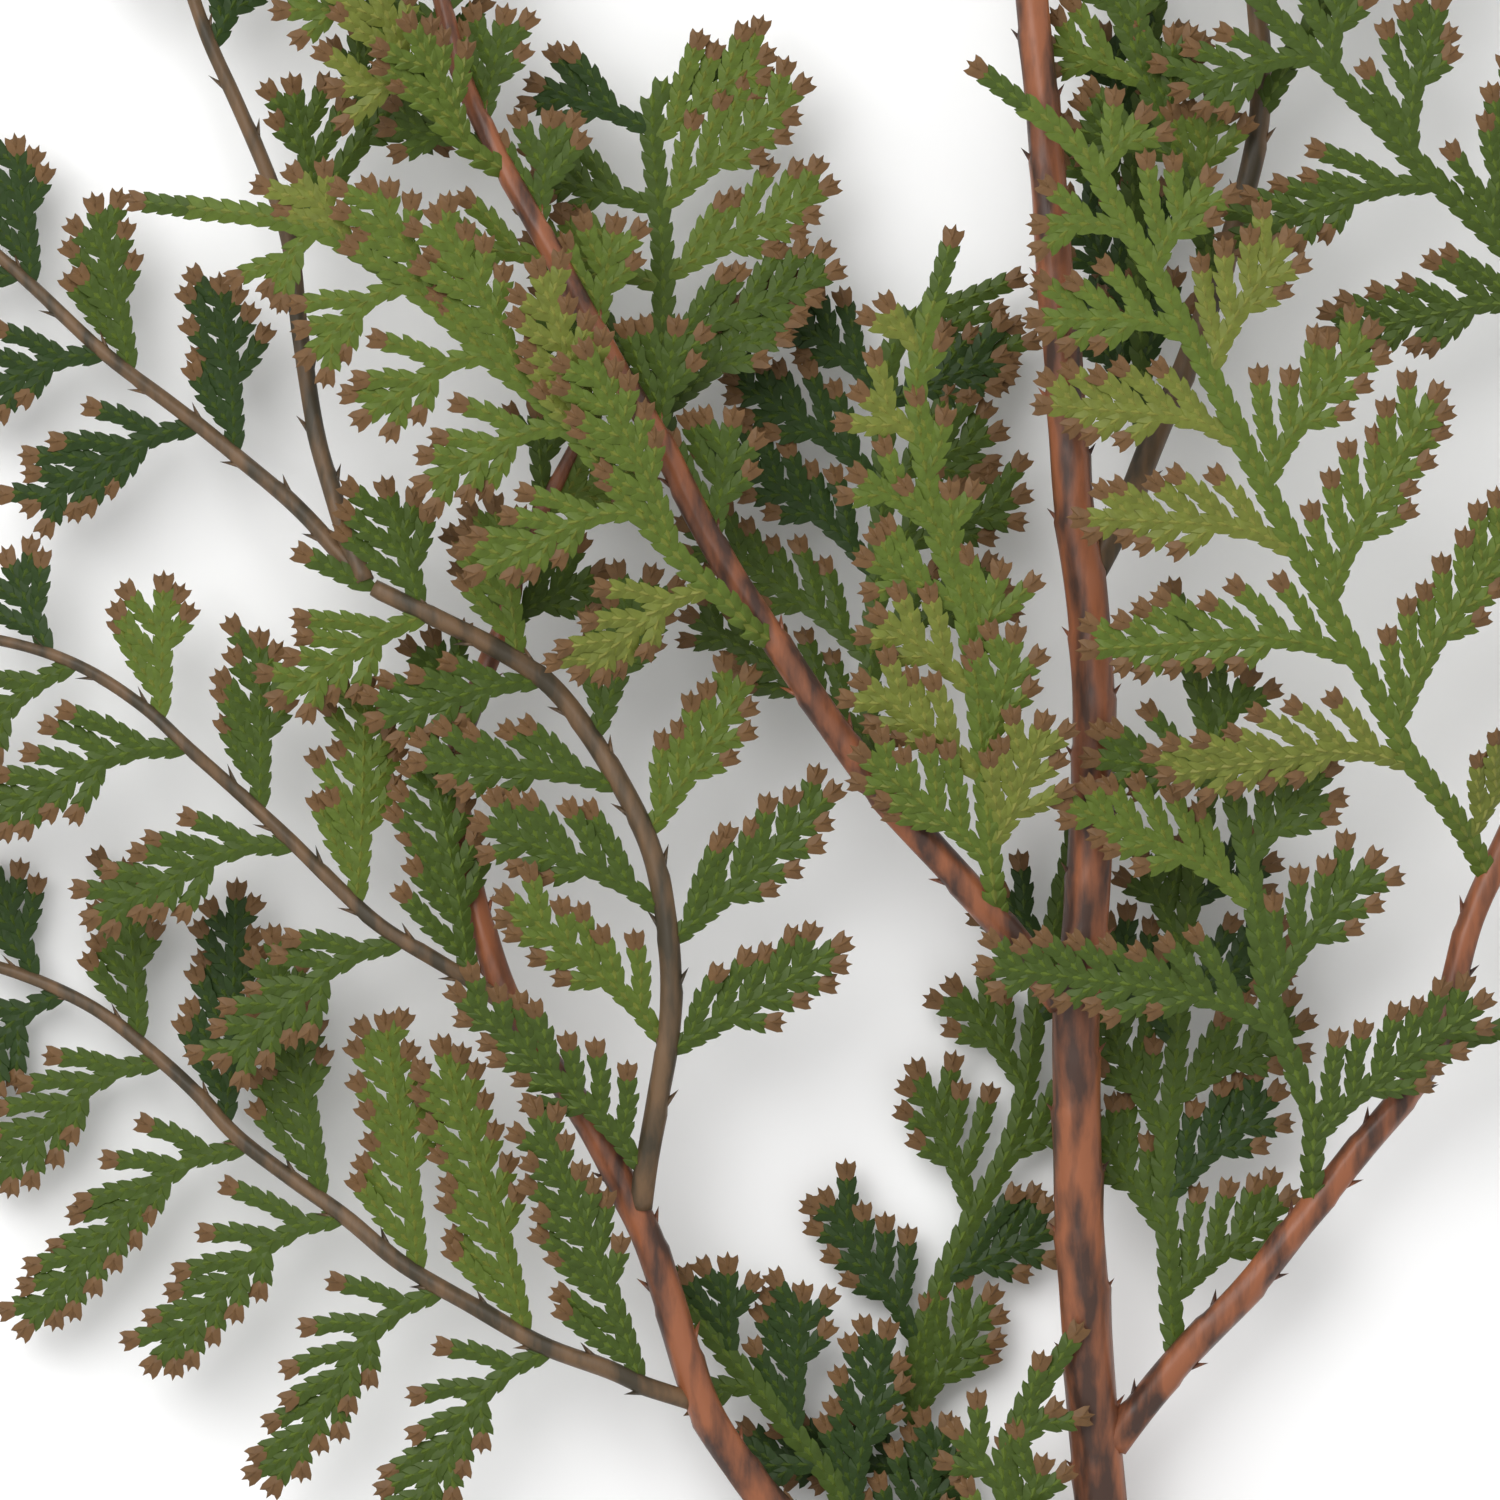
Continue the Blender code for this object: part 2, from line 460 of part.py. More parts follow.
def frond_outlines(course, start):
    """A frond's outlines: the rows of lobes on both sides of one midline, its stalk and its tip."""
    notches = [notch_marks(row, course, start) for row in (course.limb.left, course.limb.right)]
    shared = sorted(set(notches[0] + notches[1]))
    outlines = [tip_outline(course, 0.0)]
    for side, marks in zip((1, -1), notches):
        outlines += cells(course, side, start, lambda distance: 0.0, shared)
        stalk = [start, *(mark for mark in shared if start < mark < marks[0]), marks[0]]
        middle = [course.point(distance) for distance in stalk]
        wide = [course.point(distance) + course.sideways(distance, side) * course.radius(distance)
                for distance in stalk]
        if marks[0] > start:
            outlines.append(middle + wide[::-1])
    return outlines


def vane_outlines(course, side, start):
    """The outlines of a bough's mass on one side, whose edge stays clear of the bough."""
    row = course.limb.left if side > 0 else course.limb.right
    marks = notch_marks(row, course, start)
    halves = [near + (far - near) * part for near, far in zip(marks, marks[1:]) for part in EDGE_PARTS]

    def offset(distance):
        return course.radius(distance) + EDGE_GAP

    outlines = cells(course, side, start, offset, halves)
    if side > 0 and course.limb.name not in FORKED:
        outlines.append(tip_outline(course, EDGE_GAP))
    return outlines


def height_at(spot, corners):
    """The height of a blade at a spot, from the heights of its corners close by."""
    weights = [((corner.xy - spot).length_squared + CLOSE) ** -2 for corner in corners]
    return sum(weight * corner.z for weight, corner in zip(weights, corners)) / sum(weights)


def make_blade(name, outlines, material):
    """One closed thin solid that fills all the outlines as seen from above."""
    corners = [corner for outline in outlines for corner in outline]
    loops = []
    for outline in outlines:
        first = loops[-1][-1] + 1 if loops else 0
        loops.append(list(range(first, first + len(outline))))
    spots, _, faces, *_ = delaunay_2d_cdt([corner.xy for corner in corners], [], loops, 1, CLOSE)
    mesh = bmesh.new()
    low = []
    high = []
    for spot in spots:
        base = max(height_at(spot, corners) - BLADE_THICKNESS / 2, 0.0)
        low.append(mesh.verts.new((*spot, base)))
        high.append(mesh.verts.new((*spot, base + BLADE_THICKNESS)))
    sides = {}
    for face in faces:
        mesh.faces.new([high[index] for index in face])
        mesh.faces.new([low[index] for index in reversed(face)])
        for pair in zip(face, face[1:] + face[:1]):
            sides[pair] = pair[::-1]
    for a, b in sides:
        if (b, a) not in sides:
            mesh.faces.new((low[a], low[b], high[b], high[a]))
    loose = [vertex for vertex in mesh.verts if not vertex.link_faces]
    bmesh.ops.delete(mesh, geom=loose, context="VERTS")
    return finish_object(name, mesh, material)


def finish_object(name, mesh, material):
    """Makes the object of a closed bmesh in millimetres, on the surface and with its faces turned out."""
    for vertex in mesh.verts:
        vertex.co.z = max(vertex.co.z, 0.0)
    bmesh.ops.triangulate(mesh, faces=mesh.faces)
    bmesh.ops.scale(mesh, vec=(MM, MM, MM), verts=mesh.verts)
    bmesh.ops.recalc_face_normals(mesh, faces=mesh.faces)
    if mesh.calc_volume(signed=True) < 0:
        bmesh.ops.reverse_faces(mesh, faces=mesh.faces)
    data = bpy.data.meshes.new(name)
    mesh.to_mesh(data)
    mesh.free()
    data.materials.append(material)
    made = bpy.data.objects.new(name, data)
    bpy.context.collection.objects.link(made)
    return made


def foot_slant(course, parent, start):
    """The direction square to the parent that a limb's foot is cut across."""
    if parent is None:
        return course.heading(start)
    mark = parent.nearest(course.point(start))
    along = parent.heading(mark)
    heading = course.heading(start)
    away = (heading - heading.dot(along) * along).normalized()
    past_end = mark > parent.length - parent.limb.thickness[1]
    return heading if past_end or away.dot(heading) < SHALLOW_FOOT else away


def make_tube(course, parent, material):
    """A tapering limb, from a foot cut to face its parent to a small flat tip."""
    start = clear_start(course, parent, GAP)
    slant = foot_slant(course, parent, start)
    if parent is not None and slant == course.heading(start):
        start = clear_start(course, parent, GAP + course.radius(start))
        slant = course.heading(start)
    rings = max(FEWEST_RINGS, round((course.length - start) / RING_SPACING))
    mesh = bmesh.new()
    loops = []
    for ring in range(rings + 1):
        distance = start + (course.length - start) * ring / rings
        heading = course.heading(distance)
        across = course.sideways(distance, 1)
        frame = Matrix((across, heading.cross(across), heading)).transposed().to_4x4()
        frame.translation = course.point(distance)
        radius = course.radius(distance)
        circle = bmesh.ops.create_circle(mesh, segments=TUBE_SIDES, radius=radius, matrix=frame)
        loops.append(circle["verts"])
    centre = course.point(start)
    heading = course.heading(start)
    for vertex in loops[0]:
        vertex.co -= heading * (vertex.co - centre).dot(slant) / heading.dot(slant)
    for near, far in zip(loops, loops[1:]):
        for a, b, c, d in zip(near, near[1:] + near[:1], far[1:] + far[:1], far):
            mesh.faces.new((a, b, c, d))
    mesh.faces.new(loops[0])
    mesh.faces.new(loops[-1])
    made = finish_object(course.limb.name, mesh, material)
    made.data.shade_smooth()
    made.data.set_sharp_from_angle(angle=math.radians(SHARP_ANGLE))
    return made


def make_material(name, look):
    """A plain surface colour with its roughness."""
    colour, roughness = look
    material = bpy.data.materials.new(name)
    material.use_nodes = True
    shader = material.node_tree.nodes["Principled BSDF"]
    shader.inputs["Base Color"].default_value = (*colour, 1.0)
    shader.inputs["Roughness"].default_value = roughness
    shader.inputs["Metallic"].default_value = 0.0
    material.diffuse_color = (*colour, 1.0)
    return material


def clear_scene():
    """Removes the objects that are there before the branch is made."""
    for found in list(bpy.data.objects):
        bpy.data.objects.remove(found)


def make_bough(course, parent):
    """A woody limb, and the mass of leaves along each side of it."""
    name = course.limb.name
    make_tube(course, parent, make_material(f"{name}_bark", BARK))
    start = clear_start(course, parent, MASS_ROOM)
    for side, row, word in ((1, course.limb.left, "left"), (-1, course.limb.right, "right")):
        if row is not None:
            material = make_material(f"{name}_{word}_leaf", FOLIAGE)
            make_blade(f"{name}_{word}_mass", vane_outlines(course, side, start), material)


def make_frond(course, parent):
    """A leafy frond that starts clear of the bough it grows on."""
    name = course.limb.name
    start = clear_start(course, parent, course.limb.thickness[0] + STALK_ROOM)
    make_blade(name, frond_outlines(course, start), make_material(f"{name}_leaf", FOLIAGE))


def build():
    """Makes every limb, and the masses of each limb's sprays."""
    clear_scene()
    courses = {limb.name: Course(limb) for limb in LIMBS}
    for course in courses.values():
        make_limb = make_bough if course.limb.woody else make_frond
        make_limb(course, courses.get(course.limb.parent))


build()
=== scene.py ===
"""The looks of a cut arborvitae branch that lies on a pale floor.

Bark with old leaf bases covers the stem and the boughs. Sprays of scale leaves grow along every
limb by one seeded rule. Lengths are in millimetres unless a name or a comment says otherwise.
"""

import json
import math
import random
from collections import namedtuple

import bpy
import numpy
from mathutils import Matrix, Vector

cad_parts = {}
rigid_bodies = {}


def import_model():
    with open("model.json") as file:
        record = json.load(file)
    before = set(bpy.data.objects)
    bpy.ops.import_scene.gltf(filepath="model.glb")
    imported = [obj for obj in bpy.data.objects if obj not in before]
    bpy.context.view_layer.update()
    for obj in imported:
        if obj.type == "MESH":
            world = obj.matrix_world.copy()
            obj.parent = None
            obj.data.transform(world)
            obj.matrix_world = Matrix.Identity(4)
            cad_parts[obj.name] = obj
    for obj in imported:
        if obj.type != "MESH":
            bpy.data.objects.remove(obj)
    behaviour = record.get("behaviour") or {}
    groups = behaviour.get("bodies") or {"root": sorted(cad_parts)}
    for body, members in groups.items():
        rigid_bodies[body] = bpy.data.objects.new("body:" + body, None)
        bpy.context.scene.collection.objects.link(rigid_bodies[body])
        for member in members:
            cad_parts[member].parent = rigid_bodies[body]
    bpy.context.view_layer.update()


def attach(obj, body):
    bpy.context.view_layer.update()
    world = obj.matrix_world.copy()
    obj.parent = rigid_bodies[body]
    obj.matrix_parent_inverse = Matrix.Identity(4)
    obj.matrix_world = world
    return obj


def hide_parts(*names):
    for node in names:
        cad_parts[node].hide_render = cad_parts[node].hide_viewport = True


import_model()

# The frame of the branch, and the lines of its limbs and sprays
ORIGIN_X = 77.04
ORIGIN_Y = 67.13
MM = 0.001
UP = Vector((0.0, 0.0, 1.0))
TAPER_POWER = 0.6
LINE_PIECES = 8
HEADING_REACH = 0.5
SPRAY_STEPS = 6
BEND_PART = 0.45
TERMINAL_LENGTH = 7.0
LAST_FOOT_PART = 0.6
LENGTH_SPREAD = 0.08
ANGLE_SPREAD = 4.0
LIFT_SPREAD = 0.02

# Scale leaves: one unit is a pair at the sides with a pair on the faces. Rims are parts of the
# unit's length, and of its half width
LEAF_SPACING = 1.6
LEAF_LENGTH = 2.3
LEAF_HALF_WIDTH = 1.05
LEAF_HALF_DEPTH = 0.42
RIDGE_PLACE = 0.6
FACE_DEPTH = 1.35
PAIR_RIM = ((0.0, 0.42), (0.35, 0.78), (0.8, 1.05), (1.08, 0.98), (0.95, 0.5), (1.0, 0.0),
            (0.95, -0.5), (1.08, -0.98), (0.8, -1.05), (0.35, -0.78), (0.0, -0.42))
FACE_RIM = ((0.2, 0.0), (0.62, 0.4), (0.92, 0.3), (1.25, 0.0), (0.92, -0.3), (0.62, -0.4))
FLOOR_ROOM = 0.1

# Branchlets along a spray: angles in degrees
BRANCHLET_FIRST = 2.5
BRANCHLET_LAST = 2.0
BRANCHLET_SPACING = 3.2
BRANCHLET_LENGTH = 8.5
BRANCHLET_LOSS = 0.6
BRANCHLET_SPREAD = (0.8, 1.1)
BRANCHLET_ANGLE = 40.0
BRANCHLET_ANGLE_SPREAD = 5.0
BRANCHLET_TILT = 0.08
BRANCHLET_BEND = 0.25
BRANCHLET_SIZE = 0.95
BACK_LENGTH = 0.7
BACK_START = 0.3
STRAP_SPACING = 2.4
STRAP_SIZE = 1.15

# Leaf tones, from the dark ones at the back, which are painted shade, to the yellow-green ones in front,
# which are painted light
TONES = {
    "deep_green": (0.018, 0.038, 0.006),
    "mid_green": (0.044, 0.072, 0.009),
    "bright_green": (0.076, 0.112, 0.014),
    "olive_green": (0.12, 0.14, 0.022),
    "pale_green": (0.17, 0.175, 0.035),
    "bronze_tip": (0.125, 0.066, 0.026),
}
BRONZE = len(TONES) - 1
MOTTLE = (0.7, 1.35)
MOTTLE_SCALE = 900.0
LEAF_ROUGHNESS = 0.5
LEAF_SPECULAR = 0.22
# Painted light: the fronds raised in front get a lighter tone. Painted shade: sprays at or below this
# height get the darkest one
FRONT = ("front_right_frond", "front_left_frond", "long_front_frond", "top_left_frond")
SHADE_HEIGHT = 12.0
LOW_SHADE_TONE = 0
UPPER_TONE = 1
FRONT_LIGHT_TONE = 2
LIGHTER_DRAW = (0, 0, 1)

# Bark: a dark and a light colour with a roughness, grooves along it, and old leaf bases
COPPER = ((0.05, 0.024, 0.016), (0.25, 0.085, 0.036), 0.38)
BROWN = ((0.04, 0.03, 0.016), (0.13, 0.075, 0.036), 0.5)
COPPER_LIMBS = ("main_stem", "lower_right_bough", "upper_left_bough", "lower_left_bough")
BARK_SPECULAR = 0.35
BARK_STRETCH = (1.0, 0.22, 1.0)
BARK_SCALE = 420.0
BARK_DETAIL = 6.0
BARK_RANGE = (0.38, 0.6)
BARK_BUMP = 0.5
BARK_BUMP_DEPTH = 0.0004
BARK_SIDES = 18
BARK_RING = 0.9
GROOVE_DEPTH = 0.035
GROOVES = 5
GROOVE_TWIST = 0.21
RIDGES = 3
RIDGE_SHARE = 0.6
RIDGE_TWIST = 0.33
BASE_SPACING = 6.0
BASE_SWELL = 0.12
SUNK_FOOT = 0.6
SEARCH_STEP = 0.2
BARK_FLOOR_ROOM = 0.05

# The free tips of the old leaf bases
THORN_SIDES = 4
THORN_WIDTH = 0.5
THORN_WIDTH_PART = 0.6
THORN_STRETCH = 1.6
THORN_BACK = 1.2
THORN_DEPTH = 0.7
THORN_RISE = 0.75
THORN_REACH = 0.7
THORN_LAST = 2.0

# The studio, in metres, and the camera that looks straight down on a square of the branch
FLOOR_HALF = 6.0
FLOOR_COLOUR = (0.9, 0.9, 0.9, 1.0)
FLOOR_ROUGHNESS = 0.9
SKY_STRENGTH = 0.9
LAMP_PLACE = (-0.35, 0.45, 0.9)
LAMP_SIZE = 0.8
LAMP_ENERGY = 8.0
CAMERA_HEIGHT = 1.6
BRANCH_HEIGHT = 0.016
SEEN_SQUARE = 150.0

# first: millimetres along the limb to the first spray; step: spacing at the foot and the tip of
# the limb; lengths: of sprays at the limb's foot, middle and tip; angles: degrees off the limb
# that a spray starts and ends at; lift: millimetres that it rises for each millimetre it runs
Row = namedtuple("Row", "first step lengths angles lift")

# route: places from foot to tip; thickness: radius at the foot and the tip; left and right: rows
# of sprays, as seen from above when looking to the tip, or None; woody: a bough with a mass beside
# it for each row, or else a leafy frond that is one blade with its rows
Limb = namedtuple("Limb", "name parent route thickness left right woody")

LIMBS = [
    Limb("main_stem", None,
         [(113.6, 212, 2.95), (111.6, 180, 6.6), (110.2, 150, 10), (108.4, 130, 12.6), (107.7, 110, 14.8),
          (107.7, 100, 15.8), (109.1, 85, 17), (109.1, 65, 18.3), (107.3, 50, 19), (105.7, 30, 19.4),
          (103.9, 8, 19), (101, -20, 16.5), (97.5, -50, 12.5), (95, -78, 8)],
         (2.95, 0.5), None, None, True),
    Limb("upper_left_bough", "main_stem",
         [(107.2, 101.5, 15.8), (103, 96, 17.2), (97, 89, 19), (89.5, 81, 20.4), (82.5, 71.5, 21.4),
          (76, 62, 22), (71, 54, 22), (66.5, 45, 21.8), (61, 36, 21.2), (57, 28.5, 20.6),
          (52.5, 20.5, 19.8), (49, 14, 19), (46, 7, 18), (43.5, -3, 16), (41, -16, 12.5), (39, -30, 7)],
         (1.65, 0.4),
         Row(92, (13, 13), (10, 10, 8), (45, 55), 0.0),
         Row(60, (12, 12), (11, 11, 8), (40, 38), -0.04), True),
    Limb("lower_left_bough", "main_stem",
         [(112.4, 192, 5.4), (104, 184, 6.6), (95, 175, 8), (87.5, 165, 9.6), (80, 154, 11.4),
          (75, 148.2, 12.4), (70.3, 140.5, 13.4), (66.5, 129, 14.4), (63.5, 121, 15), (58.2, 111, 15.4),
          (52, 102.5, 15.5), (48.5, 94, 15.2), (46.5, 85, 14.7), (45.6, 76, 14.2), (47.5, 69.5, 13.8),
          (50.5, 62, 13.4), (52.2, 55, 13), (56, 47.5, 12.4), (60, 40, 11.6)],
         (2.1, 0.5),
         Row(141, (12, 12), (11, 11, 8), (45, 35), 0.0),
         Row(152, (12, 12), (16, 16, 9), (35, 40), 0.0), True),
    Limb("middle_left_bough", "lower_left_bough",
         [(63.9, 122.3, 15), (64.6, 117, 17), (65.8, 110, 18.6), (66.9, 103, 19.6), (66.9, 94, 20.2),
          (65.2, 85, 20.2), (61.5, 77.5, 19.8), (56, 69.5, 18.8), (50, 65, 18.9), (43, 61.5, 19.2),
          (37.4, 58.8, 18.8)],
         (1.15, 0.85),
         Row(5.5, (13.3, 13.3), (25, 19, 15), (42, 56), 0.08),
         Row(18, (11, 11), (24, 20, 10), (57, 50), 0.02), True),
    Limb("middle_left_leader", "middle_left_bough",
         [(36.6, 58.2, 18.5), (34.8, 54, 17.3), (33.2, 49, 15.8), (31.5, 43, 13.6), (30, 34, 13),
          (29.2, 26, 12.8), (27.5, 19.5, 12.4), (23.5, 10, 12), (20, 2, 11.4), (16.8, -9, 10),
          (14.8, -21, 7.5), (13.8, -33, 4)],
         (0.95, 0.35),
         Row(63, (12, 12), (12, 12, 7), (45, 45), 0.0),
         Row(57, (12, 12), (14, 14, 8), (50, 50), 0.0), True),
    Limb("middle_left_fork", "middle_left_leader",
         [(35.4, 57, 17.8), (30, 51, 14.8), (23.5, 45.5, 11.6), (16.5, 40, 10.4), (10, 35, 9.4),
          (3, 28.5, 8), (-5, 21.5, 6), (-14, 14.5, 3.4), (-21, 10, 0.9)],
         (0.85, 0.35),
         Row(22.5, (12, 12), (21, 17, 8), (38, 65), -0.03),
         Row(18, (13.5, 13.5), (17, 17, 6), (50, 42), 0.0), True),
    Limb("outer_left_upper_bough", "lower_left_bough",
         [(51.2, 101, 15.5), (47.5, 98.3, 17), (44, 96.2, 17.4), (38, 92.5, 17.2), (33, 88, 16.7),
          (28.5, 83.5, 16), (23, 78.5, 15.2), (18.5, 74.5, 15.4), (14.4, 70.8, 14.2), (9, 67.2, 12.6),
          (3, 64.8, 10.6), (-4, 63.3, 8.2), (-11, 62.8, 5), (-17, 63, 2)],
         (0.8, 0.35),
         Row(13, (14.6, 14.6), (20, 23, 8), (38, 72), -0.02),
         Row(5.5, (13.6, 13.6), (24, 15, 4), (50, 45), -0.07), True),
    Limb("outer_left_lower_bough", "lower_left_bough",
         [(69.4, 140.3, 13.3), (64.5, 138.6, 15), (61, 137, 15.6), (54, 134.4, 15.6), (47, 130.5, 15),
          (40, 126.3, 14), (34.5, 121.8, 12.8), (29, 118, 11.4), (23.5, 113.8, 9.8), (19.5, 109.6, 8.4),
          (15, 105.5, 7), (9, 101, 5.4), (2, 97.8, 3.8), (-6, 95.5, 2.2), (-14, 94, 1), (-20, 93.3, 0.4)],
         (0.95, 0.4),
         Row(15.5, (12.4, 12.4), (22, 28, 6), (40, 85), -0.06),
         Row(6, (12.5, 12.5), (32, 24, 4), (53, 46), 0.02), True),
    Limb("upper_right_bough", "main_stem",
         [(108.6, 58.5, 18.5), (110.8, 54.5, 17.4), (112.8, 50.5, 15.8), (114.4, 46.5, 14.4),
          (116.2, 42, 13.6),
          (118.2, 37.5, 13.2), (120.6, 31.5, 13), (122.6, 26, 13), (124.6, 19, 13), (126, 12, 13),
          (126.2, 6, 13.2), (125.7, 0, 13.4), (125.4, -10, 13.2), (126, -22, 12), (127.5, -34, 9.6),
          (129, -45, 6.5)],
         (1.35, 0.4),
         Row(68, (12, 12), (13, 13, 8), (45, 45), 0.0),
         Row(62, (12, 12), (13, 13, 8), (45, 45), 0.0), True),
    Limb("lower_right_bough", "main_stem",
         [(110, 146.5, 10.5), (113.5, 141.8, 11.6), (118, 136.2, 12.8), (124.5, 129.2, 13.8),
          (130, 122.5, 14.4),
          (136, 115, 14.8), (142, 107.5, 15), (144.4, 102.5, 15), (145.6, 97.5, 15), (147.2, 92, 14.9),
          (149.8, 86, 14.6), (154, 77.5, 13.6), (159.5, 67, 12), (164, 55, 10), (167.5, 42, 7.6),
          (170, 28, 4.4), (171.5, 16, 1)],
         (1.65, 0.45),
         Row(97, (13, 13), (14, 14, 9), (45, 45), 0.0),
         Row(92, (13, 13), (18, 18, 9), (50, 60), -0.03), True),
    Limb("crown_left_bough", "main_stem",
         [(101.9, -12, 17.2), (98, -18, 17.6), (92, -26.5, 17.6), (85, -36, 16.4), (79, -47, 13.6),
          (75, -59, 9), (73, -70, 3)],
         (1.1, 0.4),
         Row(14, (12, 12), (16, 14, 7), (45, 52), -0.02),
         Row(20, (12, 12), (14, 13, 7), (45, 42), 0.0), True),
    Limb("crown_right_bough", "main_stem",
         [(100.7, -25, 15.9), (104, -31, 16.4), (109, -39, 16), (114, -48.5, 14.2), (118, -59, 11),
          (120.5, -70, 6.5)],
         (1.0, 0.4),
         Row(19, (12, 12), (13, 12, 7), (45, 42), 0.0),
         Row(13, (12, 12), (15, 13, 7), (45, 52), -0.02), True),
    Limb("long_front_frond", "upper_left_bough",
         [(77.6, 64.4, 22), (75.4, 63, 24.2), (72.5, 60, 26.5), (69, 57, 28), (64, 51.5, 29.4),
          (60, 46.5, 30), (57, 43, 30), (53.5, 39.5, 30), (50, 36.8, 29.8), (45, 32, 29.2),
          (41, 28.8, 28.4), (37, 26, 27.4), (33.5, 24, 26.4), (30.5, 22.8, 25.4), (26, 21.8, 24),
          (21.3, 21.2, 22.6)],
         (0.9, 0.4),
         Row(10, (10.8, 10.8), (16, 15, 5), (45, 75), -0.06),
         Row(15.5, (11.2, 11.2), (25, 18, 4), (32, 20), 0.02), False),
    Limb("top_left_frond", "upper_left_bough",
         [(51, 17.4, 19.4), (48.4, 16, 21.2), (45.5, 13.6, 23), (43, 10.5, 24), (39.5, 6.5, 24.6),
          (36, 1.5, 24.4), (33, -3, 23.6), (30, -9, 22), (28, -15, 20)],
         (0.8, 0.35),
         Row(14, (9, 9), (7, 7, 6), (45, 55), -0.05),
         Row(6, (9, 9), (13, 10, 7), (35, 20), 0.0), False),
    Limb("back_left_frond", "upper_left_bough",
         [(87.2, 78.3, 20.8), (86.9, 75, 18.4), (86.9, 71, 16), (87.2, 65, 13.6), (87.8, 58, 11.6),
          (88.3, 50, 10.2), (88.5, 42, 9.2), (89, 36, 8.6), (91, 32.2, 8.2), (94.5, 30.6, 7.8)],
         (0.9, 0.4),
         Row(5, (9, 9), (26, 20, 9), (40, 55), 0.0),
         Row(16.5, (8, 8), (13, 14, 10), (60, 65), 0.0), False),
    Limb("back_upper_frond", "upper_left_bough",
         [(68, 48.5, 22), (67.4, 46.4, 20), (66.6, 43, 18), (65.9, 38, 16), (66.3, 31, 14.6),
          (66.2, 25, 13.6), (65.7, 19, 12.8), (65.2, 13, 12), (65.8, 10, 11.6), (68, 8.6, 11.2)],
         (0.95, 0.45),
         Row(14, (8, 8), (12, 14, 10), (65, 70), 0.0),
         Row(9, (7, 7), (14, 20, 12), (60, 58), 0.0), False),
    Limb("front_left_frond", "upper_left_bough",
         [(99.9, 92.6, 18.2), (99.4, 89.5, 20.4), (99, 86, 22), (98.5, 80, 23.6), (97.9, 73, 24.6),
          (97.2, 66, 25), (96, 60, 25), (94.1, 55, 24.8), (93, 50, 24.6), (92, 44, 24.4),
          (91.6, 39, 24.2), (92.2, 34.5, 24), (93, 31.5, 23.8)],
         (1.2, 0.4),
         Row(7.5, (8.6, 8.6), (19, 11, 4), (42, 48), 0.0),
         Row(9, (9.5, 9.5), (15, 8, 3), (38, 20), 0.0), False),
    Limb("front_right_frond", "lower_right_bough",
         [(149, 88, 14.7), (147.6, 85.4, 17), (145.8, 82.4, 20), (143.5, 79.4, 22.6), (140.8, 76, 24.8),
          (138.5, 72, 26.2), (136.2, 67.6, 27.2), (132.5, 61, 28.2), (129.5, 55.6, 28.6), (127, 50.8, 28.8),
          (124.6, 46, 28.8), (122, 40.5, 28.8), (118.5, 33.8, 28.4), (116.2, 29.6, 28), (113.6, 25, 27.6),
          (111, 20.6, 27), (108.8, 16.6, 26.6), (106.6, 14.2, 26.2), (103.8, 12, 25.8)],
         (1.15, 0.45),
         Row(17.2, (12.5, 11.5), (30, 22, 3), (32, 62), -0.1),
         Row(6, (15.8, 9.5), (27, 21, 3), (48, 62), -0.04), False),
    Limb("middle_right_frond", "lower_right_bough",
         [(131.4, 120.8, 14.5), (131.2, 117, 17), (131.2, 112.5, 18.8), (129.8, 108, 19.8),
          (128.2, 104.5, 20.4),
          (127.1, 101, 20.8), (126, 96, 21.2), (125.3, 90, 21.4), (124.2, 84, 21.4), (122.9, 79, 21.2),
          (121.3, 74.5, 21), (120, 70.5, 20.6), (119, 66.5, 20.2)],
         (1.1, 0.4),
         Row(20, (12.3, 12.3), (38, 24, 5), (40, 62), 0.04),
         Row(8, (16, 10), (26, 14, 4), (38, 50), -0.02), False),
    Limb("inner_right_frond", "lower_right_bough",
         [(118, 136.8, 12.7), (117.4, 133, 12.4), (117.1, 128, 12), (116.8, 122, 11.4), (116.5, 117, 11),
          (117.2, 111, 10.6), (117.8, 105, 10.2), (118.2, 99, 9.6), (118.8, 93, 9), (119.6, 87.5, 8.2),
          (120.4, 83, 7.4)],
         (1.05, 0.4),
         Row(13.4, (9.5, 9.5), (13, 14, 7), (38, 32), -0.06),
         Row(6.8, (10, 10), (17, 15, 6), (50, 57), -0.08), False),
    Limb("corner_frond", "lower_right_bough",
         [(167.2, 43.5, 7.8), (163.5, 39, 11.6), (159, 34, 14.4), (154.5, 29, 16.4), (150, 24.5, 17.6),
          (146, 20.6, 18.4), (142, 16.8, 18.8), (138.5, 13, 19), (135, 9.3, 19), (132, 6.2, 18.8),
          (129, 3.4, 18.4), (126, 0.2, 18), (123, -4.5, 17.4)],
         (1.05, 0.4),
         Row(19, (17.5, 17.5), (24, 22, 9), (40, 62), 0.0),
         Row(6, (11.5, 11.5), (20, 17, 8), (40, 62), 0.0), False),
    Limb("upper_right_fork", "upper_right_bough",
         [(125.9, 11.5, 13), (128.6, 6.8, 15.6), (131.2, 2.5, 16.2), (134, -2, 16.2), (139, -9.5, 15.4),
          (144, -18, 13.6), (148, -28, 11)],
         (0.9, 0.35),
         Row(16, (12, 12), (12, 12, 7), (45, 45), 0.0),
         Row(20, (12, 12), (12, 12, 7), (45, 45), 0.0), False),
    Limb("upper_right_side_frond", "upper_right_bough",
         [(121.8, 28.6, 13), (121.1, 26, 14.2), (119.8, 22, 15.4), (118.6, 18, 16), (117, 14, 16.4),
          (115.4, 10, 16.6), (113.6, 5.5, 16.6), (112, 1, 16.4), (110.6, -5, 15.8), (109.6, -12, 14.6)],
         (0.95, 0.45),
         Row(14, (8, 8), (12, 10, 6), (45, 50), 0.0),
         Row(9, (8, 8), (9, 9, 6), (30, 20), 0.0), False),
